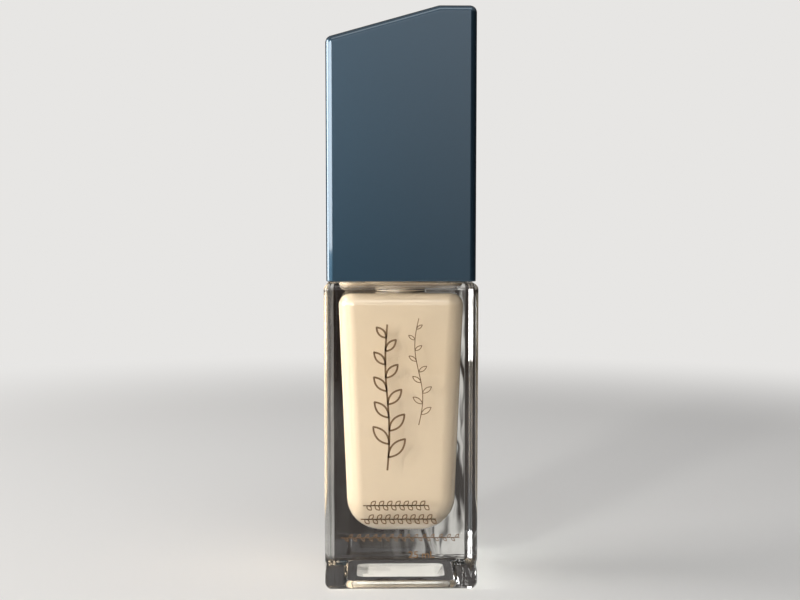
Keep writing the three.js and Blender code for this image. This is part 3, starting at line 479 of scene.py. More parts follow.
# %% Recipes
class Recipe:
    """A Geometry Nodes tree with one mesh in, named sizes, a material, and one mesh out."""

    def __init__(self, name, sizes):
        self.tree = bpy.data.node_groups.new(name, "GeometryNodeTree")
        face = self.tree.interface
        face.new_socket("Mesh", in_out="INPUT", socket_type="NodeSocketGeometry")
        for label, value in sizes.items():
            kind = "NodeSocketInt" if isinstance(value, int) else "NodeSocketFloat"
            face.new_socket(label, in_out="INPUT", socket_type=kind).default_value = value
        face.new_socket("Material", in_out="INPUT", socket_type="NodeSocketMaterial")
        face.new_socket("Mesh", in_out="OUTPUT", socket_type="NodeSocketGeometry")
        self.given = self.tree.nodes.new("NodeGroupInput").outputs

    def add(self, kind, *values, **settings):
        """Adds a node, fills its shown inputs in order, and gives its first shown output."""
        node = self.tree.nodes.new(kind)
        for name, value in settings.items():
            setattr(node, name, value)
        for socket, value in zip([s for s in node.inputs if s.enabled], values):
            value = value.socket if isinstance(value, Field) else value
            if isinstance(value, bpy.types.NodeSocket):
                self.tree.links.new(value, socket)
            elif value is not None:
                socket.default_value = value
        return next(s for s in node.outputs if s.enabled)

    def field(self, source):
        """A field from the name of a size, from a kind of node, or from an output."""
        if isinstance(source, str):
            source = self.add(source) if source.startswith("GeometryNode") else self.given[source]
        return Field(self, source)

    def split(self, vector):
        return [Field(self, s) for s in self.add("ShaderNodeSeparateXYZ", vector).node.outputs]

    def point(self, x, y, z):
        return self.add("ShaderNodeCombineXYZ", x, y, z)

    def sampled(self, mesh, index):
        """The place of the point of that number on another mesh, as three fields."""
        place = self.add("GeometryNodeInputPosition")
        return self.split(self.add("GeometryNodeSampleIndex", mesh, place, index, data_type="FLOAT_VECTOR"))

    def close(self, geometry):
        """Ends the tree: real copies, smooth faces, and the material."""
        real = self.add("GeometryNodeRealizeInstances", geometry)
        smooth = self.add("GeometryNodeSetShadeSmooth", real)
        painted = self.add("GeometryNodeSetMaterial", smooth, None, self.given["Material"])
        self.tree.links.new(painted, self.tree.nodes.new("NodeGroupOutput").inputs[0])
        return self.tree


# %% Settling a piece
WELD = 0.001 * MM


def finished_mesh(name, shape, *materials):
    """Closes a shape that was built in memory into a smooth mesh of that finish."""
    mesh = bpy.data.meshes.new(name)
    shape.to_mesh(mesh)
    shape.free()
    mesh.shade_smooth()
    for material in materials:
        mesh.materials.append(material)
    return mesh


def mesh_object(name, mesh):
    piece = bpy.data.objects.new(name, mesh)
    scene.collection.objects.link(piece)
    return piece


def settle(piece):
    """Makes what the modifiers give into the piece's own plain mesh, and drops the modifiers."""
    graph = bpy.context.evaluated_depsgraph_get()
    mesh = bpy.data.meshes.new_from_object(piece.evaluated_get(graph), depsgraph=graph)
    piece.modifiers.clear()
    piece.data = mesh
    return piece


def face_outwards(piece):
    """Turns a closed mesh the right way out, by the sign of the volume it holds."""
    shape = bmesh.new()
    shape.from_mesh(piece.data)
    if shape.calc_volume(signed=True) < 0:
        bmesh.ops.reverse_faces(shape, faces=shape.faces)
        shape.to_mesh(piece.data)
    shape.free()
    return piece


def grow(name, tree, mesh, material, sizes):
    """Runs a tree on a mesh. Its inputs are set by their identifiers before anything is evaluated."""
    piece = mesh_object(name, mesh)
    modifier = piece.modifiers.new("grow", "NODES")
    modifier.node_group = tree
    wanted = {**sizes, "Material": material}
    for item in tree.interface.items_tree:
        if item.in_out == "INPUT" and item.name in wanted:
            modifier[item.identifier] = wanted[item.name]
    return face_outwards(settle(piece))


# %% [markdown]
# ### The ring skin
#
# A square bottle with round corners, a round neck and a turned sleeve are the same shape to a maker:
# a stack of level rings. Each ring is a square of some half width whose corners have some radius, and
# when the radius equals the half width the ring is a circle. So one list of (half width, corner
# radius, height) describes the whole glass, from the middle of its base round the outside, up the
# neck, over the lip and down the inside. The tree lays a grid over it, and welds the seam and poles.


# %% Tree: skin over rings
def skin_tree():
    recipe = Recipe("skin_over_rings", {"Corner Steps": 8})
    rings = recipe.given["Mesh"]
    rows = recipe.field(recipe.add("GeometryNodeAttributeDomainSize", rings))
    steps = recipe.field("Corner Steps")
    across = steps + 1
    columns = across * 4 + 1
    grid = recipe.add("GeometryNodeMeshGrid", None, None, columns, rows)
    index = recipe.field("GeometryNodeInputIndex")
    column = (index / rows).maths("FLOOR")
    row = index - column * rows
    corner = (column / across).maths("FLOOR")
    turn = (corner + (column - corner * across) / steps) * (pi / 2)
    diagonal = (corner + 0.5) * (pi / 2)
    half, radius, height = recipe.sampled(rings, row)
    inner = (half - radius) * sqrt(2)
    x = inner * diagonal.cosine() + radius * turn.cosine()
    y = inner * diagonal.sine() + radius * turn.sine()
    placed = recipe.add("GeometryNodeSetPosition", grid, None, recipe.point(x, y, height))
    return recipe.close(recipe.add("GeometryNodeMergeByDistance", placed, None, WELD))


SKIN = skin_tree()


def skin(name, rings, material, steps=16):
    """The skin over a list of (half width, corner radius, height), as a new object."""
    mesh = bpy.data.meshes.new(name)
    mesh.from_pydata(rings, [(i, i + 1) for i in range(len(rings) - 1)], [])
    return grow(name, SKIN, mesh, material, {"Corner Steps": steps})


print(f"ring skin: {len(SKIN.nodes)} nodes")

# %% [markdown]
# ### The rod on a helix
#
# A screw thread and a coil spring are one rule too: a section carried round a helix. The thread fades
# into its wall at both ends, and the spring has a dead turn at each end where the wire lies on itself.


# %% Tree: rod on a helix
def helix_tree():
    sizes = {"Radius": 1.0, "Start": 0.0, "Turns": 2.0, "Pitch": 1.0, "Dead Turns": 0.0,
             "Dead Pitch": 0.0, "Fade Turns": 0.0, "Sunk": 0.0, "Steps A Turn": 48}
    recipe = Recipe("rod_on_helix", sizes)
    section = recipe.given["Mesh"]
    sides = recipe.field(recipe.add("GeometryNodeAttributeDomainSize", section))
    turns, dead = recipe.field("Turns"), recipe.field("Dead Turns")
    a_turn, sunk = recipe.field("Steps A Turn"), recipe.field("Sunk")
    steps = (turns * a_turn).maths("ROUND")
    across = sides + 1
    grid = recipe.add("GeometryNodeMeshGrid", None, None, steps + 3, across)
    index = recipe.field("GeometryNodeInputIndex")
    row = (index / across).maths("FLOOR")
    side = index - row * across
    out, _, rise = recipe.sampled(section, side - (side / sides).maths("FLOOR") * sides)
    # the first and last rows close to a point, and the rest carry the section
    whole = row.maths("MINIMUM", (steps + 2) - row).clamped(0, 1)
    turn = (row - 1).clamped(0, steps) / a_turn
    live = (turn - dead).clamped(0, turns - dead * 2)
    height = recipe.field("Start") + (turn - live) * recipe.field("Dead Pitch") + live * recipe.field("Pitch")
    tiny = 1e-4
    from_end = turn.maths("MINIMUM", turns - turn) + tiny
    share = (from_end / recipe.field("Fade Turns").maths("MAXIMUM", tiny)).clamped(0, 1)
    fade = share * share * (share * -2 + 3)
    radius = recipe.field("Radius") + sunk + (out * whole - sunk) * fade
    angle = turn * (2 * pi)
    place = recipe.point(radius * angle.cosine(), radius * angle.sine(), height + rise * whole)
    placed = recipe.add("GeometryNodeSetPosition", grid, None, place)
    return recipe.close(recipe.add("GeometryNodeMergeByDistance", placed, None, WELD))


HELIX = helix_tree()


def helix_rod(name, section, material, **sizes):
    """A closed section of (out, rise) points, carried round a helix about the axis."""
    mesh = bpy.data.meshes.new(name)
    mesh.from_pydata([(out, 0, rise) for out, rise in section], [], [])
    return grow(name, HELIX, mesh, material, {k.replace("_", " "): v for k, v in sizes.items()})


print(f"rod on a helix: {len(HELIX.nodes)} nodes")

# %% [markdown]
# ### Copies round the axis
#
# Grip ribs and fins are one rib, repeated. The tree puts a point for each copy on the axis and turns
# it, which keeps the spacing exact for any number.


# %% Tree: copies round the axis
def copies_tree():
    recipe = Recipe("copies_round_axis", {"Copies": 6, "First Angle": 0.0})
    copies = recipe.field("Copies")
    points = recipe.add("GeometryNodeMeshLine", copies, None, (0, 0, 0), (0, 0, 0))
    angle = recipe.field("GeometryNodeInputIndex") / copies * (2 * pi) + recipe.field("First Angle")
    turned = recipe.add("FunctionNodeEulerToRotation", recipe.point(None, None, angle))
    return recipe.close(recipe.add("GeometryNodeInstanceOnPoints", points, None, recipe.given["Mesh"],
                                   None, None, turned))


COPIES = copies_tree()


def copies(name, piece, material, count, first_angle=0.0):
    """Replaces a piece by that many copies of it round the axis."""
    grown = grow(name, COPIES, piece.data, material, {"Copies": count, "First Angle": first_angle})
    bpy.data.objects.remove(piece)
    return grown


# %% [markdown]
# ## Outlines
#
# Real edges are never sharp, and it is the small round on each edge that catches the light. So a
# turned piece starts as its plain half section, and every corner is rounded before it is spun.


# %% Arcs and rounded corners
def arc(x, z, radius, start, end, steps):
    """Points about (x, z), from one angle to another in quarter turns from +X towards +Z."""
    angles = [(start + (end - start) * i / steps) * pi / 2 for i in range(steps + 1)]
    return [(x + radius * cos(a), z + radius * sin(a)) for a in angles]


def rounded(points, radius, closed=True, steps=3):
    """Rounds each corner by one radius or its own, and by less where its sides are too short."""
    radii = radius if isinstance(radius, list) else [radius] * len(points)
    result = []
    for i, corner in enumerate(points):
        here = Vector(corner)
        before = Vector(points[i - 1]) - here
        after = Vector(points[(i + 1) % len(points)]) - here
        if (not closed and i in (0, len(points) - 1)) or abs(before.angle(after) - pi) < 0.02:
            result.append(tuple(here))
            continue
        half_angle = before.angle(after) / 2
        reach = min(radii[i] / tan(half_angle), 0.45 * before.length, 0.45 * after.length)
        tight = reach * tan(half_angle)
        middle = here + (before.normalized() + after.normalized()).normalized() * (tight / sin(half_angle))
        first = here + before.normalized() * reach - middle
        sweep = (pi - 2 * half_angle) * (1 if before.cross(after) < 0 else -1)
        result += [tuple(middle + Matrix.Rotation(sweep * k / steps, 2) @ first) for k in range(steps + 1)]
    return result


def circles(points):
    """Rings for a turned piece: the corner radius is the half width."""
    return [(r, r, z) for r, z in points]


def closed(rings):
    return rings + rings[:1]


# %% [markdown]
# ### Half sections from the frame
#
# The turned pieces of the pump are already right in the frame, apart from their facets. A lathe shape
# has edges in the plane that its section was drawn in, so the section can be read back: take the
# edges that lie in that plane on one side of the axis, and walk along them.


# %% Reading a half section
def half_section(node, axis_z=None):
    """The closed (radius, along) outline of a turned node, about the Z axis or a level one at axis_z."""
    mesh = frame["nodes"][node].data
    near = 1e-6

    def section_point(vertex):
        x, y, z = vertex.co
        radius, along = (-y, z) if axis_z is None else (axis_z - z, -y)
        return (round(radius, 7), round(along, 7)) if abs(x) < near and radius > -near else None

    neighbours = {}
    for edge in mesh.edges:
        a, b = (section_point(mesh.vertices[v]) for v in edge.vertices)
        if a and b and a != b:
            neighbours.setdefault(a, set()).add(b)
            neighbours.setdefault(b, set()).add(a)
    walk = [min(neighbours)]
    while True:
        onward = sorted(neighbours[walk[-1]] - set(walk))
        if not onward:
            return walk
        walk.append(onward[0])


for turned_node in ("pump_housing", "chaplet", "stem", "main_piston"):
    print(f"{turned_node}: {len(half_section(turned_node))} points")

# %% [markdown]
# ## Tools for finishing a piece
#
# Where two shapes meet in one moulding, they are joined or cut as solids, so that what is exported is
# one closed skin. Last of all, each piece gets weighted normals: a flat face then shades flat right up
# to its rounded edge, which matters most on glass, where a normal that is a little off bends what is
# seen through it.


# %% Joining, cutting and finishing
SHARP = radians(35)


def combine(piece, other, operation):
    """Joins or cuts two closed pieces into one solid, and drops the second."""
    modifier = piece.modifiers.new("combine", "BOOLEAN")
    modifier.operation = operation
    modifier.solver = "EXACT"
    modifier.object = other
    settle(piece)
    bpy.data.objects.remove(other)
    return piece


def gather(piece, *others):
    """Puts the shells of several pieces into the first."""
    shape = bmesh.new()
    for each in (piece, *others):
        shape.from_mesh(each.data)
    shape.to_mesh(piece.data)
    shape.free()
    for other in others:
        bpy.data.objects.remove(other)
    return piece


def fit(piece, body, replaces=()):
    """Evens the shading, and sets the piece on its body in place of its plain nodes."""
    piece.data.set_sharp_from_angle(angle=SHARP)
    piece.modifiers.new("even_shading", "WEIGHTED_NORMAL").keep_sharp = True
    settle(piece)
    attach(piece, body)
    if replaces:
        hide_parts(*replaces)
    print(f"{piece.name}: {len(piece.data.polygons)} faces, rides on {body}")
    return piece


def bar(name, radius, start, end, material, steps=6, edge=0.1 * MM):
    """A round bar on the Z axis with softened ends."""
    outline = rounded([(0, start), (radius, start), (radius, end), (0, end)], edge, closed=False)
    return skin(name, circles(outline), material, steps)


# %% [markdown]
# ## The glass
#
# The bottle is blown in a mould: a square block with a thick floor, a round neck, and a cavity that
# narrows downwards and ends in a bowl. Outside and inside are one skin, as in the real thing, so light
# enters and leaves it only where glass meets air. Under the base is a hollow, so that it stands on a
# ring and not on a rocking middle.

# %% Sizes of the glass
CAP_GAP = 0.3 * MM               # shoulder to the mouth of the cap
SHOULDER_Z = CAP_MOUTH_Z - CAP_GAP
GLASS_EDGE_R = 1.3 * MM
GLASS_CORNER_MIN = 0.2 * MM      # keeps the corners open where the foot and the shoulder draw in
FOOT_R = 1.6 * MM
SHOULDER_R = 1.4 * MM
HOLLOW_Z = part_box("base_label")[1].z
HOLLOW_HALF = GLASS_HALF - 4.5 * MM
HOLLOW_SLOPE = 1.0 * MM
HOLLOW_CORNER_R = 1.6 * MM
HOLLOW_SOFT_R = 0.5 * MM

LIQUID_GAP = 0.3 * MM            # the plain filling to the glass round it
liquid_half, liquid_floor, liquid_top = span("foundation_liquid")
CAVITY_TOP_HALF = liquid_half + LIQUID_GAP
CAVITY_LOW_HALF = CAVITY_TOP_HALF - 1.5 * MM
CAVITY_FLOOR_Z = liquid_floor - LIQUID_GAP
CAVITY_TOP_Z = liquid_top + LIQUID_GAP
CAVITY_CORNER_R = 3.4 * MM
CAVITY_TOP_R = 2.4 * MM
CAVITY_FLOOR_R = 7.8 * MM

LIP_R = 0.5 * MM
LIP_INNER_R = 0.3 * MM
NECK_R = span("neck_gasket")[0] + LIP_R
NECK_WALL = 2.55 * MM
NECK_BORE_R = NECK_R - NECK_WALL
NECK_FLARE_R = 0.8 * MM
THREAD_PITCH = 3.175 * MM
THREAD_DEPTH = 0.9 * MM
THREAD_TURNS = 1.75
THREAD_LIP_DROP = 1.9 * MM       # middle of the ridge's top end below the lip
print(f"cavity {2 * CAVITY_TOP_HALF / MM:.1f} mm wide at the top, neck bore {2 * NECK_BORE_R / MM:.1f} mm")


# %% Rings of the glass
def cavity_rings(grow=0.0):
    """The cavity, from the middle of its floor to the edge of its ceiling."""
    top, low = CAVITY_TOP_HALF + grow, CAVITY_LOW_HALF + grow
    corner = CAVITY_CORNER_R + grow
    bowl = arc(CAVITY_LOW_HALF - CAVITY_FLOOR_R, CAVITY_FLOOR_Z + CAVITY_FLOOR_R,
               CAVITY_FLOOR_R + grow, -1, 0, 28)
    ceiling = arc(CAVITY_TOP_HALF - CAVITY_TOP_R, CAVITY_TOP_Z - CAVITY_TOP_R,
                  CAVITY_TOP_R + grow, 0, 1, 12)
    lower = [(half, corner * half / low, z) for half, z in bowl]
    upper = [(half, corner - (top - half), z) for half, z in ceiling]
    return [(0, 0, CAVITY_FLOOR_Z - grow)] + lower + upper


def glass_rings():
    """The whole glass: under the base, up the outside, over the lip, and down the inside."""
    hollow = [(0, HOLLOW_Z), (HOLLOW_HALF, HOLLOW_Z), (HOLLOW_HALF + HOLLOW_SLOPE, 0),
              (GLASS_HALF - FOOT_R, 0)]
    under = rounded(hollow, HOLLOW_SOFT_R, closed=False, steps=5)[:-1]
    foot = arc(GLASS_HALF - FOOT_R, FOOT_R, FOOT_R, -1, 0, 10)
    shoulder = arc(GLASS_HALF - SHOULDER_R, SHOULDER_Z - SHOULDER_R, SHOULDER_R, 0, 1, 10)
    neck = (arc(NECK_R + NECK_FLARE_R, SHOULDER_Z + NECK_FLARE_R, NECK_FLARE_R, 3, 2, 6)
            + arc(NECK_R - LIP_R, LIP_Z - LIP_R, LIP_R, 0, 1, 5)
            + arc(NECK_BORE_R + LIP_INNER_R, LIP_Z - LIP_INNER_R, LIP_INNER_R, 1, 2, 4)
            + arc(NECK_BORE_R + LIP_INNER_R, CAVITY_TOP_Z + LIP_INNER_R, LIP_INNER_R, 2, 3, 4))
    return ([(half, min(half, HOLLOW_CORNER_R), z) for half, z in under]
            + [(half, max(GLASS_EDGE_R - (GLASS_HALF - half), GLASS_CORNER_MIN), z)
               for half, z in foot + shoulder]
            + circles(neck) + cavity_rings()[::-1])


# %% The glass and its thread
def ridge_section(sign, depth, base, crest, buried=0.3 * MM):
    """A trapezoid ridge with softened edges that stands `depth` out of its wall."""
    corners = [(-buried, -base / 2), (depth, -crest / 2), (depth, crest / 2), (-buried, base / 2)]
    return [(sign * out, rise) for out, rise in rounded(corners, 0.15 * MM)]


glass = skin("glass_block", glass_rings(), clear_glass, steps=16)
neck_thread = helix_rod(
    "neck_thread", ridge_section(1, THREAD_DEPTH, 1.5 * MM, 0.8 * MM), clear_glass,
    Radius=NECK_R, Start=LIP_Z - THREAD_LIP_DROP - THREAD_TURNS * THREAD_PITCH,
    Turns=THREAD_TURNS, Pitch=THREAD_PITCH, Fade_Turns=1 / 6, Sunk=-0.15 * MM)
fit(combine(glass, neck_thread, "UNION"), "bottle", ["glass_bottle"])

# %% [markdown]
# ## The cream
#
# The filling wets the glass, so there is no air between them, and its edge is seen magnified as if
# painted on the inside. It is therefore grown a hair into the wall, or the thin gap would act as a
# mirror. A well is left in it for the pump cylinder and the tube.

# %% Cream
WETTING = 0.02 * MM
CREAM_LEVEL = CAVITY_TOP_Z + 5 * MM            # the filling stands up into the neck
housing_r = min(r for r, z in half_section("pump_housing") if z > LIP_Z - 10 * MM and r > 4 * MM)
_, housing_low, _ = span("pump_housing")
tube_r, tube_low, _ = span("dip_tube")
well_r = housing_r + LIQUID_GAP
neck_r = NECK_BORE_R + WETTING
well = [(0, tube_low - LIQUID_GAP), (tube_r + LIQUID_GAP, tube_low - LIQUID_GAP),
        (tube_r + LIQUID_GAP, housing_low - LIQUID_GAP), (well_r, housing_low - LIQUID_GAP),
        (well_r, CREAM_LEVEL), (neck_r, CREAM_LEVEL), (neck_r, CAVITY_TOP_Z + WETTING)]
well_rings = circles(rounded(well, 0.3 * MM, closed=False))
cream = skin("cream_filling", cavity_rings(WETTING) + well_rings[::-1], foundation_cream)
fit(cream, "bottle", ["foundation_liquid"])

# %% [markdown]
# ## The label under the base
#
# A die-cut paper label sits in the hollow. It is seen twice: from below, and as a pale patch through
# the thick floor of the glass.


# %% Label
def plate(name, outline, low, high, material, edge):
    """A flat plate of that outline with softened edges."""
    shape = bmesh.new()
    face = shape.faces.new([shape.verts.new((x, y, low)) for x, y in outline])
    raised = bmesh.ops.extrude_face_region(shape, geom=[face])["geom"]
    for vertex in (g for g in raised if isinstance(g, bmesh.types.BMVert)):
        vertex.co.z = high
    sides = [e for e in shape.edges if abs(e.verts[0].co.z - e.verts[1].co.z) < WELD]
    bmesh.ops.bevel(shape, geom=sides, offset=edge, segments=2, affect="EDGES", profile=0.5)
    return face_outwards(mesh_object(name, finished_mesh(name, shape, material)))


label_low, label_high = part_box("base_label")
corners = [(label_low.x, label_low.y), (label_high.x, label_low.y),
           (label_high.x, label_high.y), (label_low.x, label_high.y)]
label = plate("paper_label", rounded(corners, 2 * MM, steps=6), label_low.z, label_high.z, label_paper,
              0.04 * MM)
fit(label, "bottle", ["base_label"])

# %% [markdown]
# ## The print
#
# The front carries thin bronze screen print. It is made as real ink, a few hundredths of a millimetre
# thick and just proud of the glass, so that it throws its own soft shadow on the cream behind it. The
# ornament is a sprig: a stem that sways, with open leaves that grow by turns to the left and to the
# right, and get smaller towards the tip. Two sprigs stand, three lie as bands, and the content is
# printed under them.


# %% Tree: sprig
def sprig_tree():
    sizes = {"Leaves": 9, "Height": 1.0, "Leaf Length": 1.0, "Leaf Width": 1.0, "Leaf Angle": 0.7,
             "Taper": 0.5, "Sway": 0.0, "Line": 1.0, "Ink": 1.0}
    recipe = Recipe("sprig", sizes)
    height, sway = recipe.field("Height"), recipe.field("Sway")

    def on_stem(share):
        return recipe.point((share * (2 * pi)).sine() * sway, share * height, None)

    line = recipe.add("GeometryNodeCurvePrimitiveLine", (0, 0, 0), (0, 1, 0))
    fine_line = recipe.add("GeometryNodeResampleCurve", line, None, 64)
    share = recipe.field("GeometryNodeSplineParameter")
    stem = recipe.add("GeometryNodeSetPosition", fine_line, None, on_stem(share))

    circle = recipe.add("GeometryNodeCurvePrimitiveCircle", 40, 1.0)
    along, across, _ = recipe.split(recipe.add("GeometryNodeInputPosition"))
    leaf_x = across * across.maths("ABSOLUTE") * recipe.field("Leaf Width") * 0.5
    leaf_y = (along * -1 + 1) * 0.5 * recipe.field("Leaf Length")
    leaf = recipe.add("GeometryNodeSetPosition", circle, None, recipe.point(leaf_x, leaf_y, None))

    leaves = recipe.field("Leaves")
    number = recipe.field("GeometryNodeInputIndex")
    spots = recipe.add("GeometryNodeMeshLine", leaves, None, (0, 0, 0), (0, 0, 0))
    place = (number + 1) / (leaves + 1)
    spots = recipe.add("GeometryNodeSetPosition", spots, None, on_stem(place))
    hand = number.maths("MODULO", 2) * 2 - 1
    lean = hand * recipe.field("Leaf Angle")
    turned = recipe.add("FunctionNodeEulerToRotation", recipe.point(None, None, lean))
    size = place * recipe.field("Taper") * -1 + 1
    grown = recipe.add("GeometryNodeInstanceOnPoints", spots, None, leaf, None, None, turned,
                       recipe.point(size, size, size))

    together = recipe.tree.nodes.new("GeometryNodeJoinGeometry")
    for part in (stem, grown):
        recipe.tree.links.new(part, together.inputs[0])
    real = recipe.add("GeometryNodeRealizeInstances", together.outputs[0])
    flat = recipe.add("GeometryNodeSetCurveNormal", real, mode="Z_UP")
    nib = recipe.add("GeometryNodeCurvePrimitiveQuadrilateral", recipe.field("Line"), recipe.field("Ink"))
    return recipe.close(recipe.add("GeometryNodeCurveToMesh", flat, nib, 1.0, True))


SPRIG = sprig_tree()
print(f"sprig: {len(SPRIG.nodes)} nodes")

# %% Ink
INK = 0.03 * MM
BOLDER = 0.012                                 # thickens the strokes, in letter heights
UPRIGHT = Matrix.Rotation(pi / 2, 4, "X")      # from flat on the table to flat on the front


def on_front(x, z, lift=INK / 2):
    """Stands something flat up on the front of the glass, with its middle at (x, z)."""
    return Matrix.Translation((x, -GLASS_HALF - lift, z)) @ UPRIGHT


def sprig(name, place, **sizes):
    grown = grow(name, SPRIG, bpy.data.meshes.new(name), bronze_ink,
                 {k.replace("_", " "): v for k, v in sizes.items()} | {"Ink": INK})
    grown.data.transform(place)
    return grown


def lettering(words, width, height, place, material):
    """Plain letters that are exactly that wide and high, as a thin mesh."""
    curve = bpy.data.curves.new("lettering", "FONT")
    curve.body = words
    curve.extrude = INK / 2
    curve.offset = BOLDER
    written = bpy.data.objects.new("lettering", curve)
    scene.collection.objects.link(written)
    graph = bpy.context.evaluated_depsgraph_get()
    mesh = bpy.data.meshes.new_from_object(written.evaluated_get(graph), depsgraph=graph)
    bpy.data.objects.remove(written)
    xs = [v.co.x for v in mesh.vertices]
    ys = [v.co.y for v in mesh.vertices]
    centred = Matrix.Translation((-(min(xs) + max(xs)) / 2, -(min(ys) + max(ys)) / 2, 0))
    sized = Matrix.Diagonal((width / (max(xs) - min(xs)), height / (max(ys) - min(ys)), 1, 1))
    mesh.transform(place @ sized @ centred)
    mesh.materials.clear()
    mesh.materials.append(material)
    return mesh_object("lettering", mesh)


# %% Front print
CONTENT = ("25 mL", 5.3 * MM, 1.4 * MM)        # words, width and height
CONTENT_PLACE = (4.1 * MM, 7.5 * MM)
LYING = Matrix.Rotation(-pi / 2, 4, "Z")
SPRIGS = [         # name, lies, x, z, length, leaves, leaf length, its width, angle, taper, sway, line
    ("tall_sprig", False, -2.8, 24.8, 29.5, 10, 5.2, 2.2, 0.74, 0.5, 0.4, 0.38),
    ("small_sprig", False, 3.5, 34.0, 21.5, 9, 2.6, 1.0, 0.95, 0.5, 0.8, 0.17),
    ("band", True, -7.75, 17.6, 13.3, 15, 1.25, 0.75, 0.8, 0.0, 0.0, 0.22),
    ("band", True, -8.2, 14.8, 15.2, 17, 1.25, 0.75, 0.8, 0.0, 0.0, 0.22),
    ("band", True, -12.2, 11.0, 24.0, 28, 0.95, 0.45, 0.8, 0.0, 0.0, 0.14),
]
grown_sprigs = []
for name, lies, x, z, length, leaves, leaf, wide, angle, taper, sway, line in SPRIGS:
    place = on_front(x * MM, z * MM) @ (LYING if lies else Matrix())
    grown_sprigs.append(sprig(name, place, Leaves=leaves, Height=length * MM, Leaf_Length=leaf * MM,
                              Leaf_Width=wide * MM, Leaf_Angle=angle, Taper=taper, Sway=sway * MM,
                              Line=line * MM))
content = lettering(*CONTENT, on_front(*CONTENT_PLACE), bronze_ink)
print_piece = gather(*grown_sprigs, content)
print_piece.name = "front_print"
fit(print_piece, "bottle")

# %% Label print
UNDERSIDE = Matrix.Rotation(pi, 4, "X")


def on_label(x, y):
    return Matrix.Translation((x, y, label_low.z - INK / 2)) @ UNDERSIDE


LABEL_MARKS = [                                # words, width, height and place across the label, in mm
    ("25 mL", 6, 1.7, -3.4),
    ("12 M", 3.6, 1.3, -0.4),
    ("l" * 17, 9, 2.6, 3.4),                   # a row of bars
]
label_print = gather(*[lettering(words, width * MM, height * MM, on_label(0, y * MM), label_ink)
                       for words, width, height, y in LABEL_MARKS])
label_print.name = "label_print"
fit(label_print, "bottle")

# %% [markdown]
# ## The pump
#
# The cylinder hangs in the neck by its flange. Inside it the piston slides on a rod, a spring pushes
# it up, and two steel balls let the cream go one way only. All of these are turned shapes, so each is
# its own half section, with its corners rounded, spun by the ring skin.

# %% Turned pieces
TURNED = [                                     # node, name, body, slot, finish, round on its corners
    ("pump_housing", "cylinder", "pump", "pump_plastic", pump_plastic, 0.20),
    ("neck_gasket", "lip_seal", "pump", "seal_foam", seal_foam, 0.20),
    ("chaplet", "stem_guide", "pump", "pump_plastic", pump_plastic, 0.15),
    ("ball_retainer", "ball_stop", "pump", "pump_plastic", pump_plastic, 0.15),
    ("stem", "hollow_stem", "piston", "pump_plastic", pump_plastic, 0.12),
    ("piston_rod", "spring_rod", "piston", "pump_plastic", pump_plastic, 0.12),
    ("main_piston", "cup_seal", "piston", "piston_plastic", piston_plastic, 0.10),
]
for node, name, body, slot, material, edge in TURNED:
    rings = closed(circles(rounded(half_section(node), edge * MM)))
    fit(skin(name, rings, material, steps=12), body, [node])

# %% Dip tube with a slanted foot
FOOT_SLANT = 0.35                              # rise of the cut for each unit across the tube
tube_rings = closed(circles(rounded(half_section("dip_tube"), 0.08 * MM)))
tube = skin("suction_tube", tube_rings, tube_plastic, steps=10)
for vertex in tube.data.vertices:
    if vertex.co.z < tube_low + 1 * MM:
        vertex.co.z += FOOT_SLANT * (vertex.co.x + tube_r)
fit(tube, "pump", ["dip_tube"])


# %% Valve balls
def ball(name, node, body):
    low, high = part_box(node)
    radius = (high.z - low.z) / 2
    rings = circles(arc(0, low.z + radius, radius, -1, 1, 24))
    fit(skin(name, rings, ball_steel, steps=10), body, [node])


ball("lower_ball", "inlet_ball", "inlet_valve")
ball("upper_ball", "outlet_ball", "outlet_valve")

# %% [markdown]
# ### The return spring
#
# Music-wire springs are coiled with a dead turn at each end and ground flat there, so they stand
# straight on their seats. The lower seat stays still in the cylinder while the piston comes down on
# the upper one, so the coil rides with the cylinder, standing on that lower seat at its rest length.

# %% Return spring
WIRE_R = 0.25 * MM
WIRE_SIDES = 12
SPRING_LENGTH = 15 * MM
SPRING_TURNS = 6
DEAD_PITCH = 0.56 * MM
GROUND = 0.09 * MM                             # how much is ground off each end
press = next(joint for joint in frame["joints"] if joint["name"] == "head_press")
spring_floor = press["deforming_nodes"][0]["fixed_end_z_m"]
spring_top = spring_floor + SPRING_LENGTH
spring_r = span("piston_rod")[0] - WIRE_R
live_pitch = (SPRING_LENGTH - 2 * WIRE_R - 2 * DEAD_PITCH) / (SPRING_TURNS - 2)
wire = [(WIRE_R * cos(2 * pi * i / WIRE_SIDES), WIRE_R * sin(2 * pi * i / WIRE_SIDES))
        for i in range(WIRE_SIDES)]
coil = helix_rod("coil_spring", wire, spring_steel, Radius=spring_r, Start=spring_floor + WIRE_R,
                 Turns=float(SPRING_TURNS), Pitch=live_pitch, Dead_Turns=1.0, Dead_Pitch=DEAD_PITCH,
                 Steps_A_Turn=40)
for vertex in coil.data.vertices:
    vertex.co.z = min(max(vertex.co.z, spring_floor + GROUND), spring_top - GROUND)
fit(coil, "pump", ["return_spring"])
1 - press["range_m"][1] / SPRING_LENGTH
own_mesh(coil)

# %% [markdown]
# ## Collar and sleeve
#
# The collar screws the pump down on the lip. Fine ribs on its outside hold the bright sleeve that is
# pressed over it, and the sleeve is what the fingers and the cap grip.

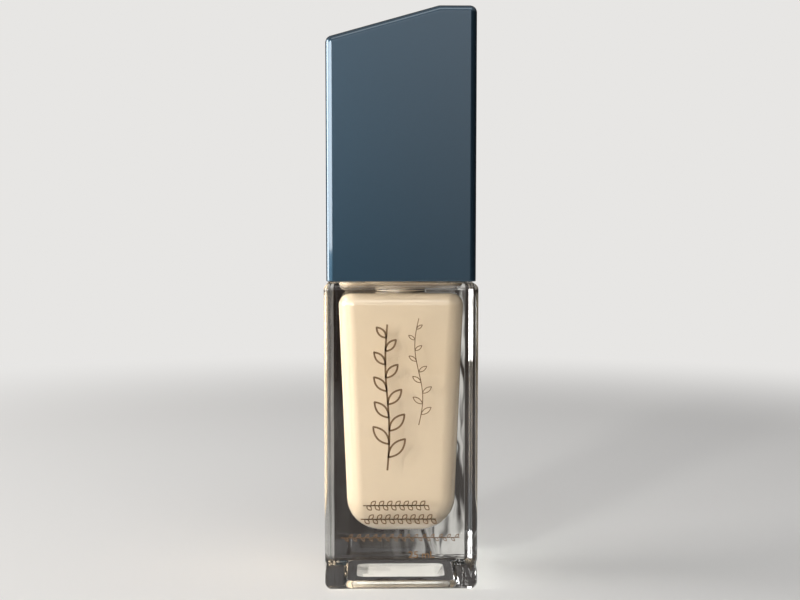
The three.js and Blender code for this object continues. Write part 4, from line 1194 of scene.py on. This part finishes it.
# %% Collar
COLLAR_WALL = 1.1 * MM
COLLAR_WEB = 1.2 * MM
COLLAR_HOLE_R = 4.8 * MM
COLLAR_THREAD_TURNS = 1.25
COLLAR_RIBS = 48
RIB_R = 0.3 * MM
RIB_PROUD = 0.1 * MM
collar_r, collar_low, collar_top = span("closure_collar")
collar_bore = collar_r - COLLAR_WALL
collar_outline = [(COLLAR_HOLE_R, collar_top - COLLAR_WEB), (collar_bore, collar_top - COLLAR_WEB),
                  (collar_bore, collar_low), (collar_r, collar_low), (collar_r, collar_top),
                  (COLLAR_HOLE_R, collar_top)]
collar = skin("screw_collar", closed(circles(rounded(collar_outline, 0.2 * MM))), collar_plastic)
inner_thread = helix_rod(
    "inner_thread", ridge_section(-1, 0.8 * MM, 1.15 * MM, 0.6 * MM), collar_plastic,
    Radius=collar_bore, Start=LIP_Z - THREAD_LIP_DROP - (THREAD_TURNS + 0.5) * THREAD_PITCH,
    Turns=COLLAR_THREAD_TURNS, Pitch=THREAD_PITCH, Fade_Turns=1 / 6, Sunk=0.15 * MM)
combine(collar, inner_thread, "UNION")
rib = bar("rib", RIB_R, collar_low + 1 * MM, collar_top - 1 * MM, collar_plastic, steps=3)
rib.data.transform(Matrix.Translation((collar_r + RIB_PROUD - RIB_R, 0, 0)))
ribs = copies("ribs", rib, collar_plastic, COLLAR_RIBS)
fit(gather(collar, ribs), "collar", ["closure_collar"])

# %% Sleeve
SLEEVE_WALL = 0.6 * MM
SLEEVE_HOLE_R = 6.75 * MM
SLEEVE_EDGE_R = 0.7 * MM
sleeve_r, sleeve_low, sleeve_top = span("collar_sleeve")
sleeve_bore = sleeve_r - SLEEVE_WALL
sleeve_outline = [(SLEEVE_HOLE_R, sleeve_top - SLEEVE_WALL), (sleeve_bore, sleeve_top - SLEEVE_WALL),
                  (sleeve_bore, sleeve_low), (sleeve_r, sleeve_low), (sleeve_r, sleeve_top),
                  (SLEEVE_HOLE_R, sleeve_top)]
sleeve_edges = [0.2 * MM, 0.15 * MM, 0.15 * MM, 0.15 * MM, SLEEVE_EDGE_R, 0.2 * MM]
sleeve_rings = closed(circles(rounded(sleeve_outline, sleeve_edges, steps=6)))
sleeve = skin("bright_sleeve", sleeve_rings, sleeve_metal, steps=20)
fit(sleeve, "collar", ["collar_sleeve"])

# %% [markdown]
# ## The head
#
# Three mouldings: a core with the duct and the spout, a lacquered cover over it with a shallow dish
# for the finger and a window for the spout, and a small nozzle in the spout's end.

# %% Sizes of the head
STEM_R = 2.0 * MM
HEAD_FIT = 0.15 * MM
HUB_WALL = 1.25 * MM
SKIRT_WALL = 0.75 * MM
CORE_RECESS = 7.5 * MM
DUCT_R = 0.9 * MM
SPOUT_WALL = 0.4 * MM
NOZZLE_SEAT = 2.85 * MM
COVER_WALL = 0.7 * MM
COVER_TOP = 1.4 * MM
COVER_EDGE_R = 1.2 * MM
FINGER_DISH = 0.6 * MM
nozzle_low, nozzle_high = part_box("nozzle_insert")
spout_z = (nozzle_low.z + nozzle_high.z) / 2
core_low, core_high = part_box("actuator_core")
spout_end = -core_low.y
spout_r = nozzle_high.x + 0.2 * MM
cover_r, cover_low, cover_top = span("actuator_shell")
FORWARDS = Matrix.Translation((0, 0, spout_z)) @ UPRIGHT
print(f"spout {2 * spout_r / MM:.1f} mm across, reaches {spout_end / MM:.1f} mm from the axis")


def front_bar(name, radius, start, end, material, steps=10, edge=0.1 * MM):
    piece = bar(name, radius, start, end, material, steps, edge)
    piece.data.transform(FORWARDS)
    return piece


# %% Core
core_r = core_high.y
hub_r = STEM_R + HEAD_FIT
hub_top = span("stem")[2] + 0.05 * MM
recess_top = core_low.z + CORE_RECESS
core_outline = [(0, hub_top), (hub_r, hub_top), (hub_r, core_low.z), (hub_r + HUB_WALL, core_low.z),
                (hub_r + HUB_WALL, recess_top), (core_r - SKIRT_WALL, recess_top),
                (core_r - SKIRT_WALL, core_low.z), (core_r, core_low.z), (core_r, core_high.z),
                (0, core_high.z)]
core = skin("head_core", circles(rounded(core_outline, 0.15 * MM, closed=False)), pump_plastic, steps=14)
combine(core, front_bar("spout", spout_r, core_r / 2, spout_end, pump_plastic), "UNION")
combine(core, bar("rise", DUCT_R, hub_top - 1 * MM, spout_z, pump_plastic), "DIFFERENCE")
combine(core, front_bar("run", DUCT_R, -DUCT_R / 2, spout_end + 1 * MM, pump_plastic), "DIFFERENCE")
seat = front_bar("seat", spout_r - SPOUT_WALL, spout_end - NOZZLE_SEAT, spout_end + 1 * MM, pump_plastic)
fit(combine(core, seat, "DIFFERENCE"), "head", ["actuator_core"])

# %% Cover
dish_r = cover_r - COVER_EDGE_R
dish = [(dish_r * i / 8, cover_top - FINGER_DISH * (1 - (i / 8) ** 2)) for i in range(8)]
cover_outside = dish + arc(dish_r, cover_top - COVER_EDGE_R, COVER_EDGE_R, 1, 0, 8)
bore_r = cover_r - COVER_WALL
cover_inside = [(cover_r, cover_low), (bore_r, cover_low), (bore_r, cover_top - COVER_TOP),
                (0, cover_top - COVER_TOP)]
cover_inside = rounded([cover_outside[-1]] + cover_inside, 0.15 * MM, closed=False)[1:]
cover = skin("head_cover", circles(cover_outside + cover_inside), head_coat, steps=16)
window = front_bar("window", spout_r + HEAD_FIT, bore_r / 2, cover_r + 1 * MM, head_coat)
fit(combine(cover, window, "DIFFERENCE"), "head", ["actuator_shell"])

# %% Nozzle
nozzle_rings = closed(circles(rounded(half_section("nozzle_insert", axis_z=spout_z), 0.12 * MM)))
nozzle = skin("spray_nozzle", nozzle_rings, pump_plastic, steps=10)
nozzle.data.transform(FORWARDS)
fit(nozzle, "head", ["nozzle_insert"])

# %% [markdown]
# ## The overcap
#
# Seen from the front, the cap is a five-sided outline: upright sides, a level strip at the high side,
# and a slant down to the low side. Every edge has the same round, as if a ball had rolled along the
# inside of it. So the outline is drawn once, and each section of the cap, from front to back, is that
# outline drawn in a little and rounded a little less. The same recipe makes the hollow inside.

# %% Sizes of the cap
CAP_FLAT = 7.5 * MM            # width of the level strip
CAP_SLANT = radians(15.5)
CAP_EDGE_R = 1.4 * MM
CAP_WALL = 1.6 * MM
CAP_INNER_EDGE_R = 0.5 * MM
CAP_RIM_R = 0.22 * MM
CAP_STEPS = 10


def drawn_in(points, distance):
    """Moves every side of a convex outline inwards by the same distance."""
    result = []
    for i, corner in enumerate(points):
        here = Vector(corner)
        before = (Vector(points[i - 1]) - here).normalized()
        after = (Vector(points[(i + 1) % len(points)]) - here).normalized()
        inward = (before + after).normalized()
        result.append(tuple(here + inward * distance / sin(before.angle(after) / 2)))
    return result


def cap_outline(wall, bottom):
    drop = (2 * CAP_HALF - CAP_FLAT) * tan(CAP_SLANT)
    corners = [(-CAP_HALF, bottom), (CAP_HALF, bottom), (CAP_HALF, CAP_TOP_Z),
               (CAP_HALF - CAP_FLAT, CAP_TOP_Z), (-CAP_HALF, CAP_TOP_Z - drop)]
    return drawn_in(corners, wall)


# %% Rolled block
def rolled_block(shape, outline, half_depth, radius):
    """Adds a block to the mesh: the upright outline, carried from front to back, its edges all round."""
    front = [(half_depth - radius + radius * cos(a), radius - radius * sin(a))
             for a in (pi / 2 * i / CAP_STEPS for i in range(CAP_STEPS + 1))]
    sections = [(-y, inset) for y, inset in front] + front[::-1]
    least = 0.02 * MM          # keeps the corners of the end faces from falling together
    rings = []
    for y, inset in sections:
        ring = rounded(drawn_in(outline, inset), radius - inset + least, steps=CAP_STEPS)
        rings.append([shape.verts.new((x, y, z)) for x, z in ring])
    for near, far in zip(rings, rings[1:]):
        for i in range(len(near)):
            shape.faces.new((near[i - 1], near[i], far[i], far[i - 1]))
    shape.faces.new(rings[0])
    shape.faces.new(rings[-1][::-1])


def mouth_edges(shape):
    return [e for e in shape.edges if all(abs(v.co.z - CAP_MOUTH_Z) < WELD for v in e.verts)]


# %% Cap
cap_shape = bmesh.new()
below = CAP_MOUTH_Z - 4 * CAP_EDGE_R
rolled_block(cap_shape, cap_outline(0, below), CAP_HALF, CAP_EDGE_R)
rolled_block(cap_shape, cap_outline(CAP_WALL, below), CAP_HALF - CAP_WALL, CAP_INNER_EDGE_R)
everything = cap_shape.verts[:] + cap_shape.edges[:] + cap_shape.faces[:]
bmesh.ops.bisect_plane(cap_shape, geom=everything, plane_co=(0, 0, CAP_MOUTH_Z), plane_no=(0, 0, 1),
                       clear_inner=True)
open_edges = [e for e in mouth_edges(cap_shape) if e.is_boundary]
bmesh.ops.triangle_fill(cap_shape, use_beauty=True, edges=open_edges)
bmesh.ops.recalc_face_normals(cap_shape, faces=cap_shape.faces)
rim = [e for e in mouth_edges(cap_shape) if any(abs(f.normal.z) < 0.5 for f in e.link_faces)]
bmesh.ops.bevel(cap_shape, geom=rim, offset=CAP_RIM_R, segments=3, affect="EDGES", profile=0.5)
bmesh.ops.recalc_face_normals(cap_shape, faces=cap_shape.faces)
overcap = face_outwards(mesh_object("overcap", finished_mesh("overcap", cap_shape, cap_coat)))
fit(overcap, "cap", ["cap_shell"])

# %% [markdown]
# ### The liner
#
# The cap is square and the collar is round, so a moulded insert goes between them: a round socket with
# a square plate at each end, four fins out to the corners, and six ribs that grip the sleeve. Plates
# and socket are one closed stack of rings again, some square and some round.

# %% Liner
LINER_FLANGE = 1.4 * MM
LINER_TOP = 1.0 * MM
LINER_WALL = 1.0 * MM
SOCKET_PLAY = 0.3 * MM
FIN_T = 1.0 * MM
GRIP_RIBS = 6
GRIP_RIB_R = 0.45 * MM
GRIP_RIB_PROUD = 0.15 * MM
plate_half, liner_low, liner_top = span("cap_liner")
socket_r = sleeve_r + SOCKET_PLAY
wall_r = socket_r + LINER_WALL
liner_outline = [(socket_r, liner_low), (plate_half, liner_low), (plate_half, liner_low + LINER_FLANGE),
                 (wall_r, liner_low + LINER_FLANGE), (wall_r, liner_top - LINER_TOP),
                 (plate_half, liner_top - LINER_TOP), (plate_half, liner_top), (socket_r, liner_top)]
liner_rings = [(half, CAP_INNER_EDGE_R if half > wall_r + 0.3 * MM else half, z)
               for half, z in rounded(liner_outline, 0.2 * MM)]
liner = skin("socket_liner", closed(liner_rings), liner_plastic)

fin_shape = bmesh.new()
fin_reach = (wall_r - LINER_WALL / 2, sqrt(2) * plate_half - FIN_T)
fin_place = Matrix.Translation(((fin_reach[0] + fin_reach[1]) / 2, 0, (liner_low + liner_top) / 2))
fin_size = Matrix.Diagonal((fin_reach[1] - fin_reach[0], FIN_T, liner_top - liner_low - 0.4 * MM, 1))
bmesh.ops.create_cube(fin_shape, size=1, matrix=fin_place @ fin_size)
bmesh.ops.bevel(fin_shape, geom=fin_shape.edges[:], offset=0.15 * MM, segments=2, affect="EDGES", profile=0.5)
fin_mesh = bpy.data.meshes.new("fin")
fin_shape.to_mesh(fin_mesh)
fin_shape.free()
fins = copies("fins", mesh_object("fin", fin_mesh), liner_plastic, 4, pi / 4)

grip = bar("grip", GRIP_RIB_R, liner_low + LINER_FLANGE, sleeve_top, liner_plastic, steps=6, edge=0.3 * MM)
grip.data.transform(Matrix.Translation((socket_r + GRIP_RIB_R - GRIP_RIB_PROUD, 0, 0)))
grips = copies("grips", grip, liner_plastic, GRIP_RIBS, pi / GRIP_RIBS)
fit(gather(liner, fins, grips), "cap", ["cap_liner"])
